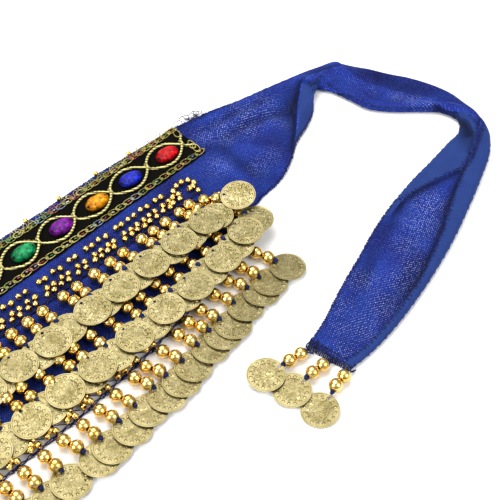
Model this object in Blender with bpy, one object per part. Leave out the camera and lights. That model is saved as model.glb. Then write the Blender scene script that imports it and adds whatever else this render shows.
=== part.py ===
"""A belly dance hip scarf laid flat, at its real size.

Metres, +Z up. The origin is on the surface under the scarf, below the middle of its gem
band. +X runs along the band and +Y points to the waist side. The script's own sizes are
in millimetres and become metres where a mesh is placed.
"""

import math

import bmesh
import bpy
from mathutils import Vector

MM = 0.001

# Gem band: one gem in each oval cell, and a short ribbon end past the last cell.
CELL_LENGTH = 26.6
CELL_COUNT = 25
BAND_END = 6.0
BAND_LOW = -15.6
BAND_HIGH = 14.0
BAND_THICKNESS = 0.8
GEM_LENGTH = 15.5
GEM_WIDTH = 10.5
GEM_HEIGHT = 3.0
GEM_SHIFT = 0.4
GEM_TABLE_SHARE = 0.6
GEM_SEAT_INSET = 1.0
BAND_HALF = CELL_LENGTH * CELL_COUNT / 2

# Heights above the surface, and the clearance between pieces that touch on the real scarf.
GAP = 0.3
CLOTH_TOP = 1.6
ON_CLOTH = CLOTH_TOP + GAP
ON_FLOOR = GAP

# Fringe: a thread rail, then two round beads and a coin on each strand.
RAIL_DEPTH = 1.6
RAIL_THICKNESS = 0.8
BEAD = 7.0
COIN = 20.0
COIN_THICKNESS = 0.7
COIN_ROLL = 0.16
SWAY = 0.04
SWAY_STEP = 2.4

# Columns: distance from the rail, width, thickness, and what sets the height there.
STRAND = (
    (3.0, 1.2, RAIL_THICKNESS, "rail"),
    (6.5, BEAD, BEAD, "bead"),
    (10.0, 2.0, 2.0, "bead"),
    (13.5, BEAD, BEAD, "bead"),
    (16.5, 10.6, COIN_THICKNESS, "coin"),
    (25.0, COIN, COIN_THICKNESS, "coin"),
    (34.5, 6.0, COIN_THICKNESS, "coin"),
)

# Columns: distance from the middle, the rail's Y, the height of the coins' middles, and
# how far the strands there lean towards the end of the scarf. The coins near the ends lie
# higher, on the beads of the tier below.
UPPER_TIER = (
    (0.0, -34.0, 6.0, 0.0),
    (120.0, -34.0, 6.0, 0.04),
    (250.0, -34.0, 11.1, 0.12),
    (317.0, -34.0, 11.6, 0.12),
)
MIDDLE_TIER = (
    (0.0, -65.0, 4.9, 0.0),
    (120.0, -65.0, 4.9, 0.04),
    (225.0, -65.0, 8.5, 0.12),
    (259.0, -63.0, 9.6, 0.12),
    (280.0, -60.5, 9.7, 0.12),
    (296.0, -57.5, 9.7, 0.12),
    (315.5, -53.0, 9.7, 0.12),
)
HEM_TIER = (
    (0.0, -102.5, 2.3, 0.0),
    (130.0, -102.5, 2.3, 0.12),
    (170.0, -102.3, 2.3, 0.24),
    (203.0, -99.7, 2.3, 0.34),
    (222.0, -98.0, 2.3, 0.36),
    (240.0, -95.0, 2.3, 0.36),
    (260.0, -92.0, 2.3, 0.36),
    (280.0, -88.5, 2.3, 0.36),
    (300.0, -86.5, 2.3, 0.36),
)

# Bead rosettes between the cloth's hem and the hem rail: share of the way, and width.
ROSETTE = ((0.5, 5.0), (1.0, 2.5))
HEM_CLEARANCE = 0.33

# Right half of each stretch of cloth, from the middle of the scarf to the end of its tie.
# Columns: inner edge X and Y, outer edge X and Y, height of the upper face at the inner
# edge, at three places across and at the outer edge, and the thickness of the cloth
# there. The inner edge is the hem on the panel. Where the thickness is as large as the
# height, gathered layers fill the space down to the surface.
PANEL_ROWS = (
    (0.0, -95.0, 0.0, 17.0, 1.6, 1.6, 1.6, 1.6, 1.6, 1.6),
    (95.0, -95.0, 95.0, 17.0, 1.6, 1.6, 1.6, 1.6, 1.6, 1.6),
    (190.0, -95.0, 190.0, 17.0, 1.6, 1.6, 1.6, 1.6, 1.6, 1.6),
    (226.0, -92.0, 226.0, 17.0, 1.6, 1.6, 1.6, 1.6, 1.6, 1.6),
    (257.0, -88.5, 257.0, 17.0, 1.6, 1.6, 1.6, 1.6, 1.6, 1.6),
    (277.0, -85.0, 283.0, 17.0, 1.6, 1.6, 1.6, 1.6, 1.6, 1.6),
    (300.0, -79.0, 312.0, 15.2, 1.6, 1.6, 1.6, 1.6, 1.6, 1.6),
    (319.0, -71.0, 327.0, 14.5, 1.6, 1.6, 1.6, 1.6, 1.6, 1.6),
    (335.5, -64.5, 336.0, 14.1, 1.6, 1.6, 1.6, 1.6, 1.6, 1.6),
    (349.0, -63.2, 347.0, 12.4, 1.6, 1.6, 1.6, 1.6, 1.6, 1.6),
    (359.7, -60.8, 363.8, 8.9, 1.8, 2.9, 1.8, 2.8, 1.9, 1.7),
    (372.2, -55.0, 382.0, 3.6, 1.9, 3.6, 2.0, 3.6, 2.3, 1.9),
    (383.0, -48.4, 400.0, -0.4, 2.1, 4.3, 2.4, 4.4, 2.8, 2.1),
    (396.0, -41.2, 419.6, -5.0, 2.4, 5.0, 2.9, 5.2, 3.2, 2.6),
    (409.0, -34.8, 438.2, -10.2, 2.9, 5.9, 3.9, 6.2, 3.6, 3.8),
    (423.5, -23.9, 453.4, -16.6, 3.5, 7.0, 5.5, 7.5, 4.0, 7.5),
)
UPPER_TIE_ROWS = (
    (423.6, -24.2, 453.5, -16.9, 3.5, 7.0, 5.5, 7.5, 4.0, 7.5),
    (430.2, -31.5, 460.8, -32.0, 3.0, 5.6, 4.0, 6.5, 4.5, 4.0),
    (433.2, -45.0, 467.6, -46.0, 2.6, 3.6, 3.0, 5.0, 4.8, 2.4),
    (435.8, -60.0, 474.8, -61.0, 3.0, 3.4, 2.6, 4.4, 5.0, 2.2),
    (445.2, -73.0, 480.4, -77.0, 3.6, 4.2, 2.8, 4.6, 5.0, 2.4),
    (457.4, -85.2, 481.6, -92.0, 4.0, 6.2, 4.2, 5.6, 4.8, 3.4),
    (464.6, -93.4, 480.2, -102.0, 4.2, 7.4, 7.0, 7.2, 4.6, 5.4),
    (466.6, -105.1, 478.2, -112.7, 4.0, 8.0, 8.6, 8.0, 4.4, 8.6),
)
LOWER_TIE_ROWS = (
    (466.4, -105.4, 478.0, -113.0, 4.0, 8.0, 8.6, 8.0, 4.4, 8.6),
    (459.0, -111.8, 472.4, -124.6, 3.6, 6.0, 7.6, 6.4, 4.4, 5.4),
    (447.6, -113.0, 460.8, -134.4, 3.0, 4.0, 6.0, 5.4, 4.6, 3.2),
    (428.6, -115.2, 437.6, -145.1, 2.6, 3.0, 4.4, 5.0, 4.8, 2.4),
    (407.8, -117.2, 412.4, -154.7, 2.4, 2.8, 3.4, 4.6, 4.8, 2.2),
    (388.8, -120.3, 389.2, -162.7, 2.2, 3.0, 2.6, 4.4, 4.6, 2.0),
    (368.2, -125.0, 363.6, -169.7, 2.2, 3.2, 2.2, 4.2, 4.4, 2.0),
    (344.4, -132.6, 338.4, -175.1, 2.2, 3.0, 2.4, 4.0, 4.2, 2.0),
    (318.2, -141.0, 314.0, -178.6, 2.2, 2.6, 2.6, 3.6, 4.0, 2.0),
    (294.0, -149.6, 292.0, -180.4, 2.2, 2.4, 2.8, 3.2, 3.6, 2.0),
    (281.0, -153.4, 279.8, -181.5, 2.2, 2.4, 2.6, 3.0, 3.2, 2.2),
)
EDGE_COLUMNS = 4
FACE_COLUMNS = 5

# Three strands at the end of each tie, and how far each leans towards the waist side.
TIE_STRAND_LEANS = (-0.22, 0.03, 0.12)

# Columns: material name, sRGB colour, roughness, metallic.
CLOTH = ("blue_cloth", (0.13, 0.20, 0.65), 0.85, 0.0)
RIBBON = ("black_ribbon", (0.03, 0.03, 0.04), 0.7, 0.0)
TRIM = ("gold_trim", (0.80, 0.70, 0.40), 0.35, 1.0)


def linear(channel):
    """One channel of an sRGB colour as a linear value."""
    if channel <= 0.04045:
        return channel / 12.92
    return ((channel + 0.055) / 1.055) ** 2.4


def make_material(name, colour, roughness, metallic):
    material = bpy.data.materials.get(name)
    if material:
        return material
    material = bpy.data.materials.new(name)
    material.use_nodes = True
    surface = material.node_tree.nodes["Principled BSDF"]
    surface.inputs["Base Color"].default_value = (*(linear(c) for c in colour), 1.0)
    surface.inputs["Roughness"].default_value = roughness
    surface.inputs["Metallic"].default_value = metallic
    return material


def finish_piece(name, mesh, look, side=1):
    """Turns a mesh in millimetres into an object of the scarf; side -1 mirrors it."""
    for vert in mesh.verts:
        vert.co = Vector((vert.co.x * side, vert.co.y, vert.co.z)) * MM
    bmesh.ops.recalc_face_normals(mesh, faces=mesh.faces)
    data = bpy.data.meshes.new(name)
    mesh.to_mesh(data)
    mesh.free()
    data.materials.append(make_material(*look))
    piece = bpy.data.objects.new(name, data)
    collection.objects.link(piece)


def at(table, distance, column):
    """Reads a column of a tier's table at a distance from the middle."""
    distance = abs(distance)
    for before, after in zip(table, table[1:]):
        if distance <= after[0]:
            share = (distance - before[0]) / (after[0] - before[0])
            return before[column] + share * (after[column] - before[column])
    return table[-1][column]


def hem_y(x):
    """The Y of the cloth's hem, on the straight lines between the panel's rows."""
    edge = [(row[0], row[1]) for row in PANEL_ROWS]
    return at(edge, x, 1)


def cloth_section(row):
    """Upper and lower points of one section, from the inner edge to the outer edge."""
    inner = Vector((row[0], row[1], 0))
    outer = Vector((row[2], row[3], 0))
    heights = row[EDGE_COLUMNS:EDGE_COLUMNS + FACE_COLUMNS]
    thickness = row[-1]
    upper = []
    lower = []
    for place, height in enumerate(heights):
        point = inner.lerp(outer, place / (FACE_COLUMNS - 1))
        upper.append(point + Vector((0, 0, height)))
        lower.append(point + Vector((0, 0, max(0.0, height - thickness))))
    return upper, lower


def mirrored(rows):
    """The same rows on the other half, from the far end to the middle."""
    return [(-row[0], row[1], -row[2], *row[3:]) for row in reversed(rows[1:])]


def cloth_wall(name, rows, side=1):
    """A sheet of cloth through its sections, closed by its underside."""
    sections = [cloth_section(row) for row in rows]
    mesh = bmesh.new()
    bmesh.ops.create_grid(
        mesh, x_segments=FACE_COLUMNS - 1, y_segments=len(rows) - 1, size=1.0
    )
    under = {}
    for vert in mesh.verts:
        column = round((vert.co.x + 1) / 2 * (FACE_COLUMNS - 1))
        row = round((vert.co.y + 1) / 2 * (len(rows) - 1))
        vert.co = sections[row][0][column]
        under[vert.co.copy().freeze()] = sections[row][1][column]
    copied = bmesh.ops.extrude_face_region(mesh, geom=mesh.faces[:])
    for item in copied["geom"]:
        if isinstance(item, bmesh.types.BMVert):
            item.co = under[item.co.copy().freeze()]
    finish_piece(name, mesh, CLOTH, side)


def gem_band():
    """The ribbon in cells, each with a faceted gem raised from its face."""
    mesh = bmesh.new()
    bmesh.ops.create_grid(mesh, x_segments=2 * CELL_COUNT, y_segments=2, size=1.0)
    middle = (BAND_LOW + BAND_HIGH) / 2
    for vert in mesh.verts:
        at_end = abs(vert.co.x) == 1.0
        x = vert.co.x * (BAND_HALF + (BAND_END if at_end else 0.0))
        y = middle + vert.co.y * (BAND_HIGH - BAND_LOW) / 2
        vert.co = (x, y, ON_CLOTH + BAND_THICKNESS)
    ribbon = bmesh.ops.extrude_face_region(mesh, geom=mesh.faces[:])
    for item in ribbon["geom"]:
        if isinstance(item, bmesh.types.BMVert):
            item.co.z = ON_CLOTH
    top = ON_CLOTH + BAND_THICKNESS
    centres = []
    for vert in mesh.verts:
        half_cells = round((vert.co.x + BAND_HALF) / CELL_LENGTH * 2)
        on_line = math.isclose(vert.co.y, middle, abs_tol=GAP)
        on_top = math.isclose(vert.co.z, top, abs_tol=GAP)
        if on_line and on_top and half_cells % 2:
            centres.append(vert)
    bmesh.ops.dissolve_verts(mesh, verts=centres)
    cells = [face for face in mesh.faces if len(face.verts) == 8]
    bmesh.ops.inset_individual(mesh, faces=cells, thickness=GEM_SEAT_INSET)
    for face in cells:
        number = round(face.calc_center_median().x / CELL_LENGTH)
        centre = Vector((number * CELL_LENGTH + GEM_SHIFT, middle, top))
        for vert in face.verts:
            angle = math.atan2(vert.co.y - centre.y, vert.co.x - centre.x)
            vert.co.x = centre.x + math.cos(angle) * GEM_LENGTH / 2
            vert.co.y = centre.y + math.sin(angle) * GEM_WIDTH / 2
        table = bmesh.ops.extrude_discrete_faces(mesh, faces=[face])["faces"][0]
        for vert in table.verts:
            vert.co = centre.lerp(vert.co, GEM_TABLE_SHARE)
            vert.co.z = top + GEM_HEIGHT
    finish_piece("gem_band", mesh, RIBBON)


def draw_strand(mesh, face, run, fall, lean, bed, coin_height):
    """Draws a strand out of one face of a rail, station by station."""
    root = face.calc_center_median()
    corners = []
    for vert in face.verts:
        along = math.copysign(0.5, (vert.co - root).dot(run))
        upward = math.copysign(0.5, vert.co.z - root.z)
        corners.append((along, upward))
    heights = {"rail": root.z, "bead": bed + BEAD / 2, "coin": coin_height}
    for distance, width, thickness, level in STRAND:
        roll = COIN_ROLL if level == "coin" else 0.0
        centre = root + (fall + run * lean) * distance
        centre.z = heights[level]
        face = bmesh.ops.extrude_discrete_faces(mesh, faces=[face])["faces"][0]
        for vert, (along, upward) in zip(face.verts, corners):
            offset = Vector((0, 0, upward * thickness - roll * along * width))
            vert.co = centre + run * along * width + offset


def draw_rosette(mesh, face):
    """Draws the flat bead rosette from the back of the hem rail to the cloth's hem."""
    rail_y = face.calc_center_median().y
    x = face.calc_center_median().x
    z = face.calc_center_median().z
    corners = []
    for vert in face.verts:
        corners.append((math.copysign(0.5, vert.co.x - x), vert.co.z))
    for share, width in ROSETTE:
        face = bmesh.ops.extrude_discrete_faces(mesh, faces=[face])["faces"][0]
        for vert, (along, height) in zip(face.verts, corners):
            corner_x = x + along * width
            reach = hem_y(corner_x) - HEM_CLEARANCE - rail_y
            vert.co = (corner_x, rail_y + share * reach, height)


def start_rail(points, depth, bed):
    """A thin strip behind the line of points, one face along it for each strand."""
    mesh = bmesh.new()
    count = len(points) - 1
    bmesh.ops.create_grid(mesh, x_segments=count, y_segments=1, size=1.0)
    for vert in mesh.verts:
        back = vert.co.y > 0
        place = points[round((vert.co.x + 1) / 2 * count)]
        vert.co = place + (depth if back else Vector((0, 0, 0)))
        vert.co.z = bed + RAIL_THICKNESS
    copied = bmesh.ops.extrude_face_region(mesh, geom=mesh.faces[:])
    for item in copied["geom"]:
        if isinstance(item, bmesh.types.BMVert):
            item.co.z = bed
    bmesh.ops.recalc_face_normals(mesh, faces=mesh.faces)
    return mesh


def faces_towards(mesh, way):
    """The side faces of a rail that look one way."""
    return [face for face in mesh.faces if face.normal.dot(way) > 0.8]


def tier(name, table, count, bed, rosettes=False):
    """One row of coin strands across the scarf, hung from its own rail."""
    run = Vector((1, 0, 0))
    fall = Vector((0, -1, 0))
    half = table[-1][0]
    pitch = 2 * half / (count - 1)
    points = []
    for number in range(count + 1):
        x = (number - count / 2) * pitch
        points.append(Vector((x, at(table, x, 1), 0)))
    mesh = start_rail(points, Vector((0, RAIL_DEPTH, 0)), bed)
    front = faces_towards(mesh, fall)
    back = faces_towards(mesh, -fall)
    for face in front:
        x = face.calc_center_median().x
        lean = math.copysign(at(table, x, 3), x) + SWAY * math.sin(SWAY_STEP * x / pitch)
        draw_strand(mesh, face, run, fall, lean, bed, at(table, x, 2))
    if rosettes:
        for face in back:
            draw_rosette(mesh, face)
    finish_piece(name, mesh, TRIM)


def tie_end(name, side):
    """Three coin strands hung from a strip along the end of a tie."""
    run = Vector((0, 1, 0))
    fall = Vector((-1, 0, 0))
    last = LOWER_TIE_ROWS[-1]
    low = Vector((last[2] - GAP - RAIL_DEPTH, last[3], 0))
    high = Vector((last[0] - GAP - RAIL_DEPTH, last[1], 0))
    strands = len(TIE_STRAND_LEANS)
    points = [low.lerp(high, number / strands) for number in range(strands + 1)]
    mesh = start_rail(points, Vector((RAIL_DEPTH, 0, 0)), ON_FLOOR)
    front = faces_towards(mesh, fall)
    front.sort(key=lambda face: face.calc_center_median().y)
    coin_height = HEM_TIER[0][2]
    for face, lean in zip(front, TIE_STRAND_LEANS):
        draw_strand(mesh, face, run, fall, lean, ON_FLOOR, coin_height)
    finish_piece(name, mesh, TRIM, side)


for old in list(bpy.data.objects):
    bpy.data.objects.remove(old, do_unlink=True)
collection = bpy.data.collections.new("belly_dance_hip_scarf")
bpy.context.scene.collection.children.link(collection)

cloth_wall("hip_panel", mirrored(PANEL_ROWS) + list(PANEL_ROWS))
gem_band()
tier("upper_fringe", UPPER_TIER, 59, ON_CLOTH)
tier("middle_fringe", MIDDLE_TIER, 58, ON_CLOTH)
tier("hem_fringe", HEM_TIER, 55, ON_FLOOR, rosettes=True)
for word, hand in (("right", 1), ("left", -1)):
    cloth_wall(f"{word}_tie_upper", UPPER_TIE_ROWS, hand)
    cloth_wall(f"{word}_tie_lower", LOWER_TIE_ROWS, hand)
    tie_end(f"{word}_tie_fringe", hand)
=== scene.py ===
import math

import bpy
import numpy as np
from mathutils import Matrix, Vector


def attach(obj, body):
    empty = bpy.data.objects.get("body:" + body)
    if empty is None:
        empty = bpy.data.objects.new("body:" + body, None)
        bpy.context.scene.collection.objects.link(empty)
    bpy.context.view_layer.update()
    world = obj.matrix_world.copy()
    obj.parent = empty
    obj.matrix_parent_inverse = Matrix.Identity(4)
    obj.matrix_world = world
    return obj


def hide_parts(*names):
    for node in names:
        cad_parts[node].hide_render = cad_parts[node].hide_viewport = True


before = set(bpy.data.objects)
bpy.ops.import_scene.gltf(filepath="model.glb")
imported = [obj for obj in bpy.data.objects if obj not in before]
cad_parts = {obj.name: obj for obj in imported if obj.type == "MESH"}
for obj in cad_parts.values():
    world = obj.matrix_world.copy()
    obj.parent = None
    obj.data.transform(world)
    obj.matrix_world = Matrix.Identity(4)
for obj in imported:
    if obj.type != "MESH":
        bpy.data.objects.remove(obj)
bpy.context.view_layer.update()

# Camera. It looks down at 51 degrees on the right end of the scarf, with the band
# running up to the right, and is narrow enough to cut the scarf off at the left.
MM = 0.001
IMAGE_WIDTH = 500
FOCAL_LENGTH_IN_PIXELS = 1050
VIEW_TARGET = Vector((305.4, -86.2, 0.0)) * MM
VIEW_HEADING = Vector((0.7075, 0.7067, 0.0))
VIEW_ELEVATION = math.radians(51)
VIEW_DISTANCE = 583 * MM
sight = VIEW_HEADING * math.cos(VIEW_ELEVATION)
sight.z = -math.sin(VIEW_ELEVATION)
lens = bpy.data.cameras.new("camera")
lens.sensor_width = 36
lens.lens = lens.sensor_width * FOCAL_LENGTH_IN_PIXELS / IMAGE_WIDTH
lens.clip_start = 0.01
camera = bpy.data.objects.new("camera", lens)
camera.location = VIEW_TARGET - sight * VIEW_DISTANCE
camera.rotation_euler = sight.to_track_quat("-Z", "Y").to_euler()
bpy.context.scene.collection.objects.link(camera)
bpy.context.scene.camera = camera
bpy.context.scene.view_settings.view_transform = "Standard"


# Floor and light. The scarf lies on smooth white card under large soft lamps, in a room
# that is darker than they are, so that the polished beads have something dark to show.
def colour(code):
    """An sRGB hex colour as the linear colour that a socket takes."""
    channels = [int(code[place:place + 2], 16) / 255 for place in (0, 2, 4)]
    return (*(c / 12.92 if c <= 0.04045 else ((c + 0.055) / 1.055) ** 2.4 for c in channels), 1.0)


def feed(node, inputs):
    """Fills inputs of a node, each with a value, a socket or another node's first output."""
    for name, value in inputs.items():
        source = getattr(value, "outputs", (value,))[0]
        if isinstance(source, bpy.types.NodeSocket):
            node.id_data.links.new(source, node.inputs[name])
        else:
            node.inputs[name].default_value = source


def add_node(tree, kind, inputs=None, stops=(), **settings):
    """Adds one shader node, with its settings, its inputs and the colours of its ramp."""
    node = tree.nodes.new("ShaderNode" + kind)
    for name, value in settings.items():
        setattr(node, name, value)
    feed(node, inputs or {})
    for number, (place, code) in enumerate(stops):
        node.color_ramp.elements[number].position = place
        node.color_ramp.elements[number].color = colour(code)
    return node


def new_material(name, inputs):
    """A material of one Principled surface; returns it, its node tree and that node."""
    material = bpy.data.materials.new(name)
    material.use_nodes = True
    surface = material.node_tree.nodes["Principled BSDF"]
    feed(surface, inputs)
    return material, material.node_tree, surface


FLOOR_WIDTH = 8.0
bpy.ops.object.select_all(action="DESELECT")
bpy.ops.mesh.primitive_plane_add(size=FLOOR_WIDTH)
floor = bpy.context.object
floor.name = "floor"
card, tree, surface = new_material("white_card", {"Roughness": 0.7, "Specular IOR Level": 0.2})
grain = add_node(tree, "TexNoise", {"Scale": 300.0})
mottle = add_node(tree, "ValToRGB", {"Fac": grain}, stops=((0.0, "F6F6F6"), (1.0, "FCFCFC")))
feed(surface, {"Base Color": mottle})
floor.data.materials.append(card)

room = bpy.data.worlds.new("room")
room.use_nodes = True
bpy.context.scene.world = room
tree = room.node_tree
direction = add_node(tree, "TexCoord")
parts = add_node(tree, "SeparateXYZ", {0: direction.outputs["Generated"]})
walls = add_node(tree, "ValToRGB", {"Fac": parts.outputs["Z"]}, stops=((0.02, "7C7C7C"), (0.9, "E8E8E8")))
feed(tree.nodes["Background"], {"Color": walls, "Strength": 0.7})

# Columns: name, X, Y and Z in metres, width in metres, power in watts.
LAMPS = (
    ("overhead_lamp", 0.45, 0.5, 1.2, 1.1, 18.0),
    ("left_lamp", -0.9, 0.1, 0.8, 0.6, 14.0),
    ("front_lamp", 0.6, -1.2, 0.9, 0.9, 12.0),
)
for name, x, y, z, width, power in LAMPS:
    lamp = bpy.data.lights.new(name, "AREA")
    lamp.size = width
    lamp.energy = power
    holder = bpy.data.objects.new(name, lamp)
    holder.location = (x, y, z)
    holder.rotation_euler = (VIEW_TARGET - holder.location).to_track_quat("-Z", "Y").to_euler()
    bpy.context.scene.collection.objects.link(holder)


# Cloth. One length of blue stretch velvet makes the panel and both ties: about 113 mm
# deep behind the fringe, tapering to ties that lie turned back on themselves. It is a
# thin knit with a short nap, so it falls in soft folds and shows its matt back at some.
CLOTH_THICKNESS = 1.4
CLOTH_STRIPS = 64
PANEL_SPANS = 120
TIE_SPANS = 300
CLOTH_SPANS = PANEL_SPANS + 2 * TIE_SPANS
EDGE_HEIGHT = 1.9
EDGE_ROLL = 2.6
PANEL_HALF = 330.0
HELD_BLEND = 14.0
# A step's foot gets a painted shadow sized by the FOOT_ values, its edge a painted highlight.
STEP_REACH = 1.3
FOOT_REACH = 3.2
FOOT_END = 12.0
FOOT_SHADE = 1.7
EDGE_REACH = 0.9
LEFT_DRIFT = 2.5
LEFT_STRENGTH = (0.8, 1.2)
LOOSE_FROM_ROW = 9
HELD_RIPPLE = 0.25
LOOSE_RIPPLE = 2.2
EDGE_WOBBLE = 0.35
BLEND_SHARE = 0.02
GLINT_EVERYWHERE = 0.16

# From the middle of the panel to the right tie's end. Columns: inner edge X and Y, outer
# edge X and Y, and the height of the upper face at five places from inner to outer.
CLOTH_ROWS = (
    (0.0, -95.0, 0.0, 17.0, 1.6, 1.6, 1.6, 1.6, 1.6),
    (95.0, -95.0, 95.0, 17.0, 1.6, 1.6, 1.6, 1.6, 1.6),
    (190.0, -95.0, 190.0, 17.0, 1.6, 1.6, 1.6, 1.6, 1.6),
    (226.0, -92.0, 226.0, 17.0, 1.6, 1.6, 1.6, 1.6, 1.6),
    (257.0, -88.5, 257.0, 17.0, 1.6, 1.6, 1.6, 1.6, 1.6),
    (277.0, -85.0, 283.0, 17.0, 1.6, 1.6, 1.6, 1.6, 1.6),
    (300.0, -79.0, 312.0, 15.2, 1.6, 1.6, 1.6, 1.6, 1.6),
    (319.0, -71.0, 327.0, 14.5, 1.6, 1.6, 1.6, 1.6, 1.6),
    (335.5, -64.5, 336.0, 14.1, 1.6, 1.6, 1.6, 1.6, 1.6),
    (349.0, -63.2, 347.0, 12.4, 1.6, 1.8, 1.6, 1.6, 1.6),
    (359.7, -60.8, 363.8, 8.9, 1.8, 2.9, 1.8, 2.8, 1.9),
    (372.2, -55.0, 382.0, 3.6, 1.9, 3.6, 2.0, 3.6, 2.3),
    (383.0, -48.4, 400.0, -0.4, 2.1, 4.3, 2.4, 4.4, 2.8),
    (398.0, -43.0, 419.6, -5.0, 2.4, 5.0, 2.9, 4.6, 2.9),
    (410.6, -36.4, 438.2, -10.2, 2.9, 5.6, 4.4, 4.6, 3.0),
    (423.5, -24.4, 452.8, -17.0, 3.5, 6.4, 5.8, 5.4, 3.2),
    (430.2, -31.5, 460.8, -32.0, 3.0, 5.6, 4.0, 6.5, 4.5),
    (433.2, -45.0, 467.6, -46.0, 2.6, 3.6, 3.0, 5.0, 4.8),
    (435.8, -60.0, 474.8, -61.0, 3.0, 3.4, 2.6, 4.4, 5.0),
    (445.2, -73.0, 480.4, -77.0, 3.6, 4.2, 2.8, 4.6, 5.0),
    (457.4, -85.2, 481.6, -92.0, 4.0, 6.2, 4.2, 5.6, 4.8),
    (464.6, -93.4, 480.2, -102.0, 4.2, 7.4, 7.0, 7.2, 4.6),
    (466.6, -105.1, 478.2, -112.7, 4.0, 8.0, 8.6, 8.0, 4.4),
    (459.0, -111.8, 472.4, -124.6, 3.6, 6.0, 7.6, 6.4, 4.4),
    (447.6, -113.0, 460.8, -134.4, 3.0, 4.0, 6.0, 5.4, 4.6),
    (428.6, -115.2, 437.6, -145.1, 2.6, 3.0, 4.4, 5.0, 4.8),
    (407.8, -117.2, 412.4, -154.7, 2.4, 2.8, 3.4, 4.6, 4.8),
    (388.8, -120.3, 389.2, -162.7, 2.2, 3.0, 2.6, 4.4, 4.6),
    (368.2, -125.0, 363.6, -169.7, 2.2, 3.2, 2.2, 4.2, 4.4),
    (344.4, -132.6, 338.4, -175.1, 2.2, 3.0, 2.4, 4.0, 4.2),
    (318.2, -141.0, 314.0, -178.6, 2.2, 2.6, 2.6, 3.6, 4.0),
    (294.0, -149.6, 296.6, -179.2, 2.2, 2.4, 2.8, 3.2, 3.6),
    (281.6, -152.4, 286.2, -178.6, 2.2, 2.4, 2.6, 3.0, 3.2),
)

# Creases of the right half. Columns: the line that each follows from above, its height at
# the start, middle and end (below zero is a trough), and its reach to the left and right
# of that line, as one walks along it. A short reach is a step from one layer to another.
CREASES = (
    (((376.4, -52.3), (391.9, -40.2), (408.4, -25.4), (421.1, -16.6)), (0.5, 2.4, 0.9), 0.9, 6.0),
    (((420.6, -17.1), (430.6, -16.4), (438.0, -19.0), (446.0, -23.2)), (0.9, 0.6, 0.4), 1.1, 5.0),
    (((423.6, -16.0), (425.6, -22.0), (429.5, -31.2), (434.9, -42.1)), (1.6, 1.3, 0.3), 7.0, 0.9),
    (((416.0, -14.0), (401.0, -25.0), (382.6, -40.0)), (-0.8, -2.0, -0.6), 6.0, 5.0),
    (((352.0, 6.0), (377.0, 0.5), (405.0, -7.0), (424.0, -12.0)), (0.3, 1.0, 0.4), 3.0, 3.0),
    (((351.6, -0.6), (374.3, -4.3), (393.8, -9.5)), (-0.6, -1.1, -0.2), 2.6, 2.6),
    (((348.0, -6.0), (372.0, -10.5), (396.0, -16.5)), (0.6, 1.1, 0.4), 3.2, 3.2),
    (((345.4, -11.5), (366.6, -16.4), (387.7, -21.4), (401.7, -26.7)), (-0.4, -1.3, -1.0), 3.0, 3.0),
    (((370.0, -22.0), (386.0, -29.0)), (0.8, 1.3, 0.6), 5.0, 6.0),
    (((338.0, -10.3), (350.4, -20.0)), (-0.8, -1.0, -1.0), 2.6, 2.6),
    (((348.4, -22.2), (347.1, -35.7), (347.4, -46.3), (352.0, -56.6)), (-1.0, -1.6, -0.6), 4.0, 4.0),
    (((355.6, -24.6), (360.2, -35.7), (366.5, -44.0)), (0.7, 1.3, 0.5), 5.0, 5.0),
    (((334.0, -23.5), (338.0, -37.0), (338.0, -50.0)), (0.6, 1.2, 0.6), 4.0, 4.0),
    (((455.4, -27.5), (460.6, -47.5), (466.6, -65.7), (474.7, -82.8)), (-1.0, -1.5, -0.7), 6.5, 6.5),
    (((451.6, -19.5), (448.6, -31.6), (450.4, -44.0), (456.0, -59.0), (463.0, -73.0), (470.0, -84.0)),
     (1.8, 1.2, 0.8), 1.4, 7.0),
    (((436.5, -43.6), (440.5, -60.0), (451.0, -72.0), (463.0, -83.5)), (0.5, 1.3, 1.1), 3.0, 5.0),
    (((464.9, -91.0), (468.3, -102.6), (464.6, -114.6), (458.0, -124.9), (446.8, -130.0)),
     (0.8, 2.2, 0.8), 5.0, 1.1),
    (((464.0, -108.0), (456.9, -119.0), (446.6, -125.4)), (-1.0, -2.2, -0.8), 4.0, 5.0),
    (((464.8, -121.0), (455.1, -126.9), (444.4, -131.4), (433.9, -133.5), (422.4, -130.0), (411.9, -127.3),
      (401.5, -124.6), (391.9, -123.7), (380.8, -125.5)), (0.8, 2.0, 0.3), 0.9, 9.0),
    (((471.6, -118.1), (454.0, -127.4), (432.4, -136.4), (418.2, -141.7), (403.2, -148.0), (389.5, -155.3),
      (374.7, -160.7), (361.8, -165.5), (348.9, -169.1), (335.7, -171.7), (322.9, -173.6), (310.0, -175.0),
      (297.2, -175.6), (281.0, -176.0)), (0.8, 1.1, 0.7), 6.0, 0.9),
    (((378.0, -136.0), (354.0, -148.8), (331.5, -154.7), (307.3, -158.3), (287.2, -164.3)),
     (0.6, 1.5, 0.6), 6.0, 6.0),
    (((365.3, -158.5), (347.3, -162.8), (324.2, -165.9), (304.6, -167.0)), (-0.6, -1.3, -0.4), 4.0, 4.0),
    (((353.2, -135.5), (337.3, -143.2), (319.8, -148.6)), (-0.6, -1.3, -0.4), 5.0, 5.0),
    (((386.6, -126.0), (373.8, -130.0), (358.7, -133.0)), (-0.3, -1.2, -0.3), 3.6, 3.6),
    (((412.0, -133.0), (396.0, -138.0), (382.0, -141.0)), (0.4, 1.0, 0.4), 5.0, 5.0),
)

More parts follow.
